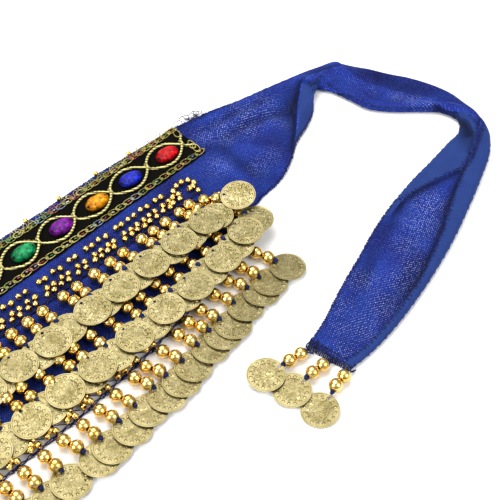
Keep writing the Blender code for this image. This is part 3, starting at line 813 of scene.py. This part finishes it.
# Twisted cord: gold foil yarn wrapped on cotton. Its crowns are pale gold and the grooves
# between its turns are painted dark olive as shade.
CORD_TURN_PITCH = 1.5
cord_yarn, tree, surface = new_material("twisted_cord", {"Roughness": 0.42, "Metallic": 0.5})
place_on = add_node(tree, "TexCoord")
turns = add_node(
    tree, "TexWave", {"Vector": place_on.outputs["Object"], "Scale": WAVE_REPEAT / (CORD_TURN_PITCH * MM),
    "Distortion": 1.2, "Detail": 1.0}, bands_direction="DIAGONAL",
)
turn_tone_and_shade = add_node(
    tree, "ValToRGB", {"Fac": turns.outputs["Fac"]}, stops=((0.12, "5A5224"), (0.55, "E4DA90")),
)
turn_relief = add_node(
    tree, "Bump", {"Height": turns.outputs["Fac"], "Strength": 0.7, "Distance": 0.0003},
)
feed(surface, {"Base Color": turn_tone_and_shade, "Normal": turn_relief})
for name, sign in (("upper_start_cord", 1), ("lower_start_cord", -1)):
    piece = cord(name, sign)
    hand_over(piece, cord_yarn, "gold_cord", "gem_band")

# The stitches over the crossings stand upright around both cords.
BINDING = (3.5 * 0.95, 3.5 * 1.25, 3.5)
bpy.ops.object.select_all(action="DESELECT")
bpy.ops.mesh.primitive_torus_add(major_segments=12, minor_segments=5, major_radius=0.5,
                                 minor_radius=0.45 / 3.5)
binding = bpy.context.object
stretch(*BINDING)
bpy.ops.object.shade_smooth()
places = []
for number in range(CORD_CELLS + 1):
    x = CORD_CROSSING - number * cell
    places.append(stand(x + float(cord_drift(x)), CORD_MIDDLE, CORD_HEIGHT + 0.35, lean=math.radians(90)))
bindings = repeat("cord_bindings", binding, places, thread_tone=[colour("E2D98E")] * len(places))
hand_over(bindings, foil_yarn, "gold_cord", "gem_band")


# Gems. Oval acrylic stones 15.5 by 10.5 mm, faceted and foiled on the back, in five colours
# in turn. Each is sewn down through two small holes at its ends.
GEM_LENGTH = 15.5
GEM_WIDTH = 10.5
GEM_TONES = ("D80E16", "1826B8", "E8920C", "7C1599", "0C8A50")
GEM_DRIFTS = (0.9, -1.2, 0.3, 0.9, 1.2)
GEM_DROP = -0.9
GEM_SIDES = 14
SEWING_HOLE_OUT = 6.4
GEM_BED = RIBBON_BED + RIBBON_THICKNESS + 0.5

# Steps of the gem's cut, from its rim to its table: how far in and how far up each goes.
GEM_CUT = ((1.2, 0.9), (1.4, 0.8), (1.3, 0.45))
bpy.ops.object.select_all(action="DESELECT")
bpy.ops.mesh.primitive_cylinder_add(vertices=GEM_SIDES, radius=0.5, depth=1.0, end_fill_type="NGON")
gem = bpy.context.object
stretch(GEM_LENGTH, GEM_WIDTH, 1.0)


def pick_faces(piece, wanted):
    """Selects the faces for which wanted holds, and no others."""
    for face in piece.data.polygons:
        face.select = wanted(face)


def inset(piece, wanted, widths, move):
    """Insets the wanted faces by each width in turn, and moves them, in millimetres."""
    pick_faces(piece, wanted)
    bpy.ops.object.mode_set(mode="EDIT")
    bpy.ops.mesh.select_mode(type="FACE")
    for width in widths:
        bpy.ops.mesh.inset(thickness=width * MM)
    bpy.ops.transform.translate(value=Vector(move) * MM)
    bpy.ops.object.mode_set(mode="OBJECT")


def map_from_above(piece):
    """Gives a piece a UV map that reads X and Y in millimetres."""
    for corner, loop in zip(piece.data.uv_layers[0].data, piece.data.loops):
        corner.uv = piece.data.vertices[loop.vertex_index].co.xy / MM


for step_in, rise in GEM_CUT:
    inset(gem, lambda face: face.normal.z > 0.99 and len(face.vertices) == GEM_SIDES,
          (step_in,), (0, 0, rise))
pick_faces(gem, lambda face: 0.2 < face.normal.z < 0.99)
bpy.ops.object.mode_set(mode="EDIT")
bpy.ops.mesh.poke()
bpy.ops.mesh.select_all(action="SELECT")
bpy.ops.mesh.normals_make_consistent(inside=False)
bpy.ops.object.mode_set(mode="OBJECT")
map_from_above(gem)
places = []
tones = []
for number in range(CORD_CELLS):
    place = (number - (CORD_CELLS - 1) / 2) * cell
    kind = (CORD_CELLS - 1 - number) % len(GEM_TONES)
    places.append(stand(place + GEM_DRIFTS[kind], CORD_MIDDLE + GEM_DROP, GEM_BED,
                        math.radians(stray(3)), stray(0.03)))
    tones.append(colour(GEM_TONES[kind]))
gems = repeat("gems", gem, places, gem_tone=tones)
facets = gems.data.attributes.new("facet", "FLOAT", "FACE")
facets.data.foreach_set("value", chance.uniform(0.0, 1.0, len(gems.data.polygons)))

# Acrylic gem: clear moulded plastic over crazed foil. As painted reflections of the foil, some
# facets and foil cells are painted to glow and others nearly black, and the colour is painted
# darker towards the rim, off centre, as shade. The two sewing holes show as dark specks.
acrylic, tree, surface = new_material("acrylic_gem", {"Roughness": 0.22, "Specular IOR Level": 0.1})
tone = add_node(tree, "Attribute", attribute_name="gem_tone")
facet = add_node(tree, "Attribute", attribute_name="facet")
# Painted reflection: each facet's colour is scaled up or down at random.
depth = add_node(tree, "MapRange", {0: facet.outputs["Fac"], 3: 0.4, 4: 1.3})
own = add_node(tree, "UVMap", uv_map="own")
foil = add_node(tree, "TexVoronoi", {"Vector": own, "Scale": 0.42})
foil_parts = add_node(tree, "SeparateColor", {"Color": foil.outputs["Color"]})
rim_share = add_node(
    tree, "VectorMath", {0: own, 1: (2 / GEM_LENGTH, 2 / GEM_WIDTH, 0.0)}, operation="MULTIPLY",
)
from_middle = add_node(tree, "VectorMath", {0: rim_share, 1: (0.12, 0.05, 0.0)}, operation="DISTANCE")
rim_painted_shade = add_node(tree, "MapRange", {0: from_middle.outputs["Value"], 1: 0.45, 2: 1.0, 3: 1.0, 4: 0.16})
foil_light = add_node(tree, "MapRange", {0: foil_parts.outputs["Red"], 3: 0.45, 4: 2.0})
light_back = add_node(tree, "Math", {0: depth, 1: foil_light}, operation="MULTIPLY")
light_in = add_node(tree, "Math", {0: light_back, 1: rim_painted_shade}, operation="MULTIPLY")
gem_painted_light = add_node(tree, "VectorMath", {0: tone, "Scale": light_in}, operation="SCALE")
axes = add_node(tree, "SeparateXYZ", {0: own})
mirrored_x = add_node(tree, "Math", {0: axes.outputs["X"]}, operation="ABSOLUTE")
hole_spot = add_node(tree, "CombineXYZ", {"X": mirrored_x, "Y": axes.outputs["Y"]})
hole_away = add_node(
    tree, "VectorMath", {0: hole_spot, 1: (SEWING_HOLE_OUT, 0.0, 0.0)}, operation="DISTANCE",
)
hole = add_node(tree, "MapRange", {0: hole_away.outputs["Value"], 1: 0.55, 2: 0.95, 3: 1.0, 4: 0.0})
gem_face = add_node(tree, "Mix", {"Factor": hole, 6: gem_painted_light, 7: colour("120808")}, data_type="RGBA")
feed(surface, {"Base Color": gem_face.outputs[2]})
hand_over(gems, acrylic, "gem_plastic", "gem_band")


# Large beads. Every strand of fringe starts with two polished gold-plated beads, about
# 7 mm across and threaded on navy thread below the rail of its tier.
BEAD = 7.3
ON_CLOTH = 1.9
ON_FLOOR = 0.3

# One table for each tier. Columns: distance from the middle of the scarf, the rail's Y,
# the height of the coins' middles, and how far the strands lean towards the end.
UPPER_TIER = (
    (0.0, -36.0, 6.0, 0.0), (120.0, -36.0, 6.0, 0.04), (250.0, -36.0, 11.1, 0.12),
    (300.0, -36.0, 11.6, 0.12), (317.0, -34.6, 11.6, 0.12),
)
MIDDLE_TIER = (
    (0.0, -65.0, 4.9, 0.0), (120.0, -65.0, 4.9, 0.04), (225.0, -65.0, 8.5, 0.12),
    (259.0, -63.0, 9.6, 0.12), (280.0, -60.5, 9.7, 0.12), (296.0, -57.5, 9.7, 0.12),
    (315.5, -53.0, 9.7, 0.12),
)
HEM_TIER = (
    (0.0, -102.5, 2.3, 0.0), (130.0, -102.5, 2.3, 0.12), (170.0, -102.3, 2.3, 0.24),
    (203.0, -99.7, 2.3, 0.34), (222.0, -98.0, 2.3, 0.36), (240.0, -95.0, 2.3, 0.36),
    (260.0, -92.0, 2.3, 0.36), (280.0, -88.5, 2.3, 0.36), (300.0, -86.5, 2.3, 0.36),
)

# Columns: its table, how many strands it has, and the height that its beads lie at.
TIERS = {
    "upper": (UPPER_TIER, 59, ON_CLOTH),
    "middle": (MIDDLE_TIER, 58, ON_CLOTH),
    "hem": (HEM_TIER, 55, ON_FLOOR),
}
STRAND_LEAN = 0.04
STRAND_LEAN_STEP = 2.4
THROWN_LEAN = 0.8
THROWN_AT = 305.4
THROWN_DROP = 5.6
CROWDING = 0.15
CROWDED_FROM = 270.0

# The three strands of each tie. Columns: X and Y of the root, and lean to the waist side.
TIE_STRANDS = ((285.4, -178.0, -0.17), (282.9, -167.6, 0.08), (279.7, -156.2, 0.2))


def rail_at(tier, x, column):
    """Reads the rail's Y, the coins' height or the lean from a tier's table."""
    table = np.array(TIERS[tier][0])
    return float(np.interp(abs(x), table[:, 0], table[:, column]))


strands = []
for tier, (table, count, bed) in TIERS.items():
    pitch = 2 * table[-1][0] / (count - 1)
    for number in range(count):
        x = (number - (count - 1) / 2) * pitch
        lean = STRAND_LEAN * math.sin(STRAND_LEAN_STEP * x / pitch) + stray(0.06)
        lean += math.copysign(rail_at(tier, x, 3), x)
        root = Vector((x + stray(1.5), rail_at(tier, x, 1), 0.0))
        if tier == "upper":
            root.x -= math.copysign(CROWDING * max(0.0, abs(x) - CROWDED_FROM), x)
        thrown = tier == "upper" and number in (0, count - 1)
        if thrown:
            lean = math.copysign(THROWN_LEAN, x)
            root.x = math.copysign(THROWN_AT, x)
            root.y -= THROWN_DROP
        strands.append({
            "tier": tier, "number": number, "root": root, "bed": bed, "thrown": thrown,
            "fall": Vector((lean, -1.0, 0.0)).normalized(), "coin_height": rail_at(tier, x, 2),
            "rise": min(2.0, max(0.0, abs(x) - 150.0) * 0.02) if tier == "upper" else 0.0,
        })
for hand in (1, -1):
    for number, (x, y, lean) in enumerate(TIE_STRANDS):
        strands.append({
            "tier": "tie", "number": number, "root": Vector((x * hand, y, 0.0)), "bed": ON_FLOOR,
            "fall": Vector((-hand, lean, 0.0)).normalized(), "coin_height": 2.3, "thrown": False,
            "rise": 0.0,
        })
for strand in strands:
    strand["run"] = Vector((-strand["fall"].y, strand["fall"].x, 0.0))


def round_bead(width, segments, rings, hole):
    """One bead with an open threading hole along Y, its rims turned in."""
    bpy.ops.object.select_all(action="DESELECT")
    bpy.ops.mesh.primitive_uv_sphere_add(segments=segments, ring_count=rings, radius=width / 2 * MM,
                                         rotation=(math.radians(90), 0, 0))
    bead = bpy.context.object
    bpy.ops.object.transform_apply(rotation=True)
    for vert in bead.data.vertices:
        vert.select = abs(vert.co.y) > width / 2 * MM * 0.999
    for edge in bead.data.edges:
        edge.select = False
    for face in bead.data.polygons:
        face.select = False
    bpy.ops.object.mode_set(mode="EDIT")
    bpy.ops.mesh.select_mode(type="VERT")
    bpy.ops.mesh.dissolve_verts()
    bpy.ops.object.mode_set(mode="OBJECT")
    for side in (1, -1):
        inset(bead, lambda face: len(face.vertices) == segments and face.normal.y * side > 0.9,
              (hole,), (0, -side * hole * 2.2, 0))
    for corner, loop in zip(bead.data.uv_layers[0].data, bead.data.loops):
        point = bead.data.vertices[loop.vertex_index].co
        corner.uv = (point.length / MM / width * 2, point.y / MM / width * 2)
    bpy.ops.object.shade_smooth()
    return bead


def along_fall(strand, distance, sideways, z, roll=0.0, pitch=0.0, size=1.0):
    """A place on a strand, with X along its run and Y back up the strand."""
    point = strand["root"] + strand["fall"] * distance + strand["run"] * sideways
    point.z = z
    run = strand["run"]
    back_up = -strand["fall"]
    basis = Matrix((run, back_up, Vector((0, 0, 1)))).transposed().to_4x4()
    turned = Matrix.Rotation(roll, 4, "Y") @ Matrix.Rotation(pitch, 4, "X")
    return Matrix.Translation(point * MM) @ basis @ turned @ Matrix.Scale(size, 4)


BEAD_RIM = 0.35
FIRST_BEAD = 6.5
SECOND_BEAD = 13.7
places = []
for strand in strands:
    for distance in (FIRST_BEAD, SECOND_BEAD):
        strand_z = strand["bed"] + BEAD / 2 - 0.1 + (strand["rise"] if distance == SECOND_BEAD else 0.0)
        places.append(along_fall(
            strand, distance, stray(0.35), strand_z + chance.uniform(0, 0.3),
            stray(3), stray(0.12), chance.uniform(0.97, 1.03),
        ))
large_beads = repeat("large_beads", round_bead(BEAD, 14, 10, BEAD_RIM), places)

# Gold-plated plastic bead: moulded smooth and vacuum plated, so it mirrors the room. Inside
# the hole its colour is painted dark brown as shade.
plated, tree, surface = new_material("gold_plated_bead", {"Roughness": 0.24, "Metallic": 1.0})
own = add_node(tree, "UVMap", uv_map="own")
how_far_out = add_node(tree, "SeparateXYZ", {0: own})
hole_shade_mask = add_node(tree, "MapRange", {0: how_far_out.outputs["X"], 1: 0.78, 2: 0.97})
place_on = add_node(tree, "TexCoord")
wear = add_node(tree, "TexNoise", {"Vector": place_on.outputs["Object"], "Scale": 260.0, "Detail": 2.0})
plating = add_node(tree, "ValToRGB", {"Fac": wear}, stops=((0.35, "EBBF5E"), (0.7, "F8DC92")))
plated_face_and_hole_shade = add_node(
    tree, "Mix", {"Factor": hole_shade_mask, 7: plating, 6: colour("1C1206")}, data_type="RGBA",
)
feed(surface, {"Base Color": plated_face_and_hole_shade.outputs[2]})
TIER_NODES = ("upper_fringe", "middle_fringe", "hem_fringe", "right_tie_fringe", "left_tie_fringe")
hand_over(large_beads, plated, "gold_bead", *TIER_NODES)


# Small beads. Seed beads 3.9 mm across, plated like the large ones, hold each strand up: a
# scalloped row below the band, a cluster of four over each strand of two tiers, a rosette
# of five over each strand of the hem, and one on the waist edge between every two gems.
SMALL_BEAD = 3.9
SMALL_RIM = 0.3
HEM_EDGE = 1.3
MIDDLE_RISE = 0.9
SCALLOP = ((-2.1, 12.2), (2.2, 11.7))
CLUSTER = ((-1.1, 5.7), (3.3, 5.5), (-3.5, 2.3), (1.2, 1.9))
ROSETTE = ((-2.2, 5.6), (2.3, 5.4), (-2.3, 1.6), (2.2, 1.3), (0.0, 3.4))

# Where the scalloped row turns down at the upper tier's ends, from the scarf's middle, and
# the beads of the strand that is thrown outwards there, from the strand's root.
NET_CORNER = ((302.6, -26.3), (306.6, -24.5), (310.8, -24.3), (314.6, -25.9), (315.8, -29.7))
THROWN_BEADS = ((5.5, 9.0), (8.2, 8.6), (8.0, 4.0), (14.0, -6.6), (14.3, -11.0))
places = []
for strand in strands:
    x, y = strand["root"].xy
    if strand["tier"] == "upper":
        spots = list(CLUSTER) + (list(SCALLOP) if abs(x) < NET_CORNER[0][0] - 8 else [])
    elif strand["tier"] == "middle":
        spots = [(a, b + 1.6) for a, b in CLUSTER]
    elif strand["tier"] == "hem":
        spots = list(ROSETTE)
    else:
        spots = []
    if strand["thrown"]:
        hand = math.copysign(1, x)
        spots = [(hand * a, b) for a, b in THROWN_BEADS]
    bed = strand["bed"] if strand["tier"] != "hem" else HEM_EDGE
    for a, b in spots:
        places.append(stand(
            x + a + stray(0.35), y + b + stray(0.35),
            bed + SMALL_BEAD / 2 - 0.1 + (MIDDLE_RISE if (a, b) == ROSETTE[-1] else 0.0),
            stray(1.6), stray(0.5), size=chance.uniform(0.94, 1.04),
        ))
for hand in (1, -1):
    for x, y in NET_CORNER:
        places.append(stand(hand * x, y, ON_CLOTH + SMALL_BEAD / 2, stray(1.6), 0.3))
waist_edge = rows[right_rows - 1:right_rows + 9, 2:4]
for number in range(CORD_CELLS - 1):
    place = (number - (CORD_CELLS - 2) / 2) * cell + stray(3.0)
    places.append(stand(place, float(np.interp(abs(place), waist_edge[:, 0], waist_edge[:, 1])) - 0.4,
                        CLOTH_THICKNESS + SMALL_BEAD / 2, stray(1.6), 0.4, size=0.8))
small_beads = repeat("small_beads", round_bead(SMALL_BEAD, 8, 6, SMALL_RIM), places)
hand_over(small_beads, plated, "gold_bead", *TIER_NODES[:3])


# Coins. Light stamped coins 20 mm across, one at the foot of each strand. They carry a
# ring of small dots and loose scrolls, and lie over and under their neighbours.
COIN = 20.0
COIN_THICKNESS = 0.6
COIN_RIM = 0.45
RIM_SLOPE = 0.3
COIN_SUNK = 0.14
HOLE = 1.8
HOLE_OUT = 8.0
COIN_AT = 25.0
FURTHER_DOWN = {"tie": 3.0, "upper": 1.2}
TIE_COIN_HEIGHTS = (0.9, 2.0, 3.1)
HEM_COIN_ROLL = 0.11
bpy.ops.object.select_all(action="DESELECT")
bpy.ops.mesh.primitive_cylinder_add(vertices=28, radius=COIN / 2 * MM, depth=COIN_THICKNESS * MM,
                                    end_fill_type="NGON")
coin = bpy.context.object
for side in (1, -1):
    inset(coin, lambda face: face.normal.z * side > 0.9, (COIN_RIM, RIM_SLOPE), (0, 0, -side * COIN_SUNK))
bpy.ops.object.select_all(action="DESELECT")
bpy.ops.mesh.primitive_cylinder_add(vertices=8, radius=HOLE / 2 * MM, depth=4 * MM,
                                    location=(0, HOLE_OUT * MM, 0))
punch = bpy.context.object
select_only(coin)
hole = coin.modifiers.new("hole", "BOOLEAN")
hole.operation = "DIFFERENCE"
hole.object = punch
bpy.ops.object.modifier_apply(modifier=hole.name)
bpy.data.objects.remove(punch)
map_from_above(coin)
bpy.ops.object.shade_flat()
places = []
for strand in strands:
    on_top = strand["number"] % 2 == 0
    if strand["tier"] in ("upper", "middle"):
        z = strand["coin_height"] + (0.9 if on_top else -0.5)
        roll = stray(0.03)
        pitch = -0.06 if strand["coin_height"] > 7 else 0.0
    elif strand["tier"] == "hem":
        z = strand["coin_height"]
        roll = HEM_COIN_ROLL
        pitch = 0.0
    else:
        z = TIE_COIN_HEIGHTS[strand["number"]]
        roll = 0.0
        pitch = 0.04
    if strand["thrown"]:
        z = strand["coin_height"] + 1.4
        roll = -0.1
    reach = COIN_AT + chance.uniform(-0.8, 1.4) + FURTHER_DOWN.get(strand["tier"], 0.0)
    places.append(along_fall(strand, reach, stray(0.9), z, roll, pitch + stray(0.02)))
coins = repeat("coins", coin, places, coin_tone=chance.uniform(0, 1, len(places)),
               coin_turn=chance.uniform(-0.6, 0.6, len(places)))

# Stamped brass: thin sheet struck in a die and tumbled, so it is satin. Its colour is paler
# on the raised rim, dots and scrolls, partly as polish from the tumbling and partly as painted
# highlight, and darker in broad patches where the tumbling did not reach.
DOT_COUNT = 16
DOT_RING = 7.7
brass, tree, surface = new_material("stamped_brass", {"Roughness": 0.42, "Metallic": 1.0})
own = add_node(tree, "UVMap", uv_map="own")
turn = add_node(tree, "Attribute", attribute_name="coin_turn")
tone = add_node(tree, "Attribute", attribute_name="coin_tone")
face_map = add_node(
    tree, "VectorRotate", {"Vector": own, "Angle": turn.outputs["Fac"]}, rotation_type="Z_AXIS",
)
axes = add_node(tree, "SeparateXYZ", {0: face_map})
out = add_node(tree, "VectorMath", {0: own}, operation="LENGTH")
angle = add_node(tree, "Math", {0: axes.outputs["Y"], 1: axes.outputs["X"]}, operation="ARCTAN2")
dot_step = add_node(tree, "Math", {0: angle, 1: DOT_COUNT / (2 * math.pi)}, operation="MULTIPLY")
dot_share = add_node(tree, "Math", {0: dot_step, 1: 0.5}, operation="PINGPONG")
dot_side = add_node(
    tree, "Math", {0: dot_share, 1: 2 * math.pi * DOT_RING / DOT_COUNT}, operation="MULTIPLY",
)
dot_out = add_node(tree, "Math", {0: out.outputs["Value"], 1: DOT_RING}, operation="SUBTRACT")
dot_place = add_node(tree, "CombineXYZ", {"X": dot_side, "Y": dot_out})
dot_away = add_node(tree, "VectorMath", {0: dot_place}, operation="LENGTH")
dot_height = add_node(tree, "MapRange", {0: dot_away.outputs["Value"], 1: 0.35, 2: 0.85, 3: 1.0, 4: 0.0})
scroll_seed = add_node(tree, "Math", {0: tone.outputs["Fac"], 1: 37.0}, operation="MULTIPLY")
scrolls = add_node(
    tree, "TexNoise", {"Vector": face_map, "W": scroll_seed, "Scale": 0.3, "Detail": 0.4,
    "Distortion": 1.4}, noise_dimensions="4D",
)
scroll_lines = add_node(tree, "Math", {0: scrolls, 1: 0.09}, operation="PINGPONG")
scroll_height = add_node(tree, "MapRange", {0: scroll_lines, 1: 0.016, 2: 0.045, 3: 1.0, 4: 0.0})
in_middle = add_node(tree, "MapRange", {0: out.outputs["Value"], 1: 6.2, 2: 6.9, 3: 1.0, 4: 0.0})
middle_scrolls = add_node(tree, "Math", {0: scroll_height, 1: in_middle}, operation="MULTIPLY")
relief = add_node(tree, "Math", {0: middle_scrolls, 1: dot_height}, operation="MAXIMUM")
tarnish = add_node(
    tree, "TexNoise", {"Vector": own, "W": scroll_seed, "Scale": 0.16, "Detail": 3.0},
    noise_dimensions="4D",
)
tumbled = add_node(tree, "ValToRGB", {"Fac": tarnish}, stops=((0.3, "83784C"), (0.7, "AA9E74")))
# The raised rim, dots and scrolls are painted paler, as polish and as painted highlight.
high = add_node(tree, "MapRange", {0: relief, 3: 0.85, 4: 1.5})
rim = add_node(tree, "MapRange", {0: out.outputs["Value"], 1: 9.0, 2: 9.4})
polish_and_highlight = add_node(tree, "Math", {0: high, 1: rim}, operation="MAXIMUM")
struck = add_node(tree, "VectorMath", {0: tumbled, "Scale": polish_and_highlight}, operation="SCALE")
struck_relief = add_node(tree, "Bump", {"Height": relief, "Strength": 1.0, "Distance": 0.00045})
feed(surface, {"Base Color": struck, "Normal": struck_relief})
hand_over(coins, brass, "coin_brass", *TIER_NODES)


# Knots and threads. Navy thread runs in a rail along each tier, zigzags through the small
# beads, passes down each strand and ends in a fat knot over the coin's hole.
KNOT_AT = 17.2
KNOT = (2.7, 3.6, 2.4)
THREAD_THICKNESS = 0.75
RAIL_STEP = 2.2

# Threads of a rail. Columns: offset across it, height over its bed and depth of its waves.
RAIL_THREADS = ((0.0, 0.45, 0.5), (0.7, 0.9, 0.7), (-0.6, 0.7, 0.9))

# Threads that zigzag through the small beads: how far over the rail they turn.
ZIGZAGS = {"upper": ((12.4, 5.0), (5.6, 2.0)), "middle": ((7.0, 3.6),), "hem": ((6.2, 1.4),)}
bpy.ops.object.select_all(action="DESELECT")
bpy.ops.mesh.primitive_uv_sphere_add(segments=8, ring_count=6, radius=0.5)
knot = bpy.context.object
stretch(*KNOT)
for vert in knot.data.vertices:
    bump = 1 + 0.16 * math.sin(vert.co.x / MM * 4.1 + vert.co.y / MM * 3.3)
    vert.co = vert.co * bump
bpy.ops.object.shade_smooth()
places = []
for strand in strands:
    z = max(strand["bed"] + 2.2, strand["coin_height"] - 1.6) if strand["tier"] != "hem" else 2.9
    for twist in (0.0, 1.9):
        places.append(along_fall(
            strand, KNOT_AT + chance.uniform(-0.4, 0.3), stray(0.4), z + 0.5,
            twist + stray(0.5), stray(0.4), chance.uniform(0.85, 1.1),
        ))
knots = repeat("knots", knot, places)
hand_over(knots, thread, "navy_thread", *TIER_NODES)

rail_lines = []
for tier, (table, count, bed) in TIERS.items():
    pitch = 2 * table[-1][0] / (count - 1)
    half = table[-1][0] - (4.0 if tier == "upper" else -4.0)
    for offset, height, wave in RAIL_THREADS[:2 if tier == "hem" else 3]:
        line = []
        for step in range(int(2 * half / RAIL_STEP) + 1):
            x = -half + step * RAIL_STEP
            y = rail_at(tier, x, 1) + offset + wave * math.sin(x * 1.1 + offset * 5) * 0.7
            line.append((x, y - 0.4, bed + height + 0.4 * math.sin(x * 0.9 + offset)))
        rail_lines.append(line)
    for turns in ZIGZAGS[tier]:
        line = []
        for number in range(2 * count):
            x = (number - count + 0.5) * pitch / 2
            if abs(x) <= half - 6:
                line.append((x, rail_at(tier, x, 1) + turns[1 - number % 2], bed + 0.9))
        rail_lines.append(line)
for strand in strands:
    fall = strand["fall"]
    root = strand["root"]
    z = strand["bed"] + BEAD / 2
    knot_at = root + fall * KNOT_AT
    rail_lines.append([
        (*root.xy, strand["bed"] + 0.6), (*(root + fall * 2.4).xy, z - 0.6),
        (*(root + fall * FIRST_BEAD).xy, z),
        (*(root + fall * SECOND_BEAD).xy, z + strand["rise"]),
        (*knot_at.xy, max(z - 1.0 + strand["rise"], strand["coin_height"] - 1.5)),
    ])
    for side in (-1, 1):
        start = root + strand["run"] * side * 2.3 - fall * 0.3
        rail_lines.append([(*start.xy, strand["bed"] + 0.5), (*(root + fall * 3.0).xy, z - 1.2)])
rails = lay_threads("rails_and_threads", rail_lines, THREAD_THICKNESS)
hand_over(rails, thread, "navy_thread", *TIER_NODES[:3])


# Tie ends. Each tie's raw end is whipped with navy thread into a firm strip, with loops
# that carry its three strands.
WHIPPING_TURNS = 26
WHIPPING_THICKNESS = 0.8
TIE_END_LOW = Vector((284.8, -178.6, 0.0))
TIE_END_HIGH = Vector((280.2, -152.6, 0.0))
end_lines = []
for hand in (1, -1):
    for number in range(WHIPPING_TURNS):
        point = TIE_END_LOW.lerp(TIE_END_HIGH, number / (WHIPPING_TURNS - 1))
        low = (hand * (point.x - 0.6 + chance.uniform(-0.5, 0.3)), point.y, 0.5)
        top = (hand * (point.x + 2.4), point.y + stray(0.6), 2.7)
        reach = point.x + 4.4 + chance.uniform(-0.7, 0.9)
        back = (hand * reach, point.y + stray(0.8), 3.4)
        end_lines.append((low, (hand * (point.x + 0.4), point.y + 0.3, 2.1), top, back))
    for x, y, _ in TIE_STRANDS:
        for side in (-2.4, 2.2):
            end_lines.append(((hand * (x + 1.5), y + side, 1.6), (hand * (x - 1.2), y + side * 0.6, 2.4),
                              (hand * (x - 3.4), y, 3.4)))
whipping = lay_threads("tie_end_whipping", end_lines, WHIPPING_THICKNESS)
hand_over(whipping, thread, "navy_thread", "right_tie_fringe", "left_tie_fringe")
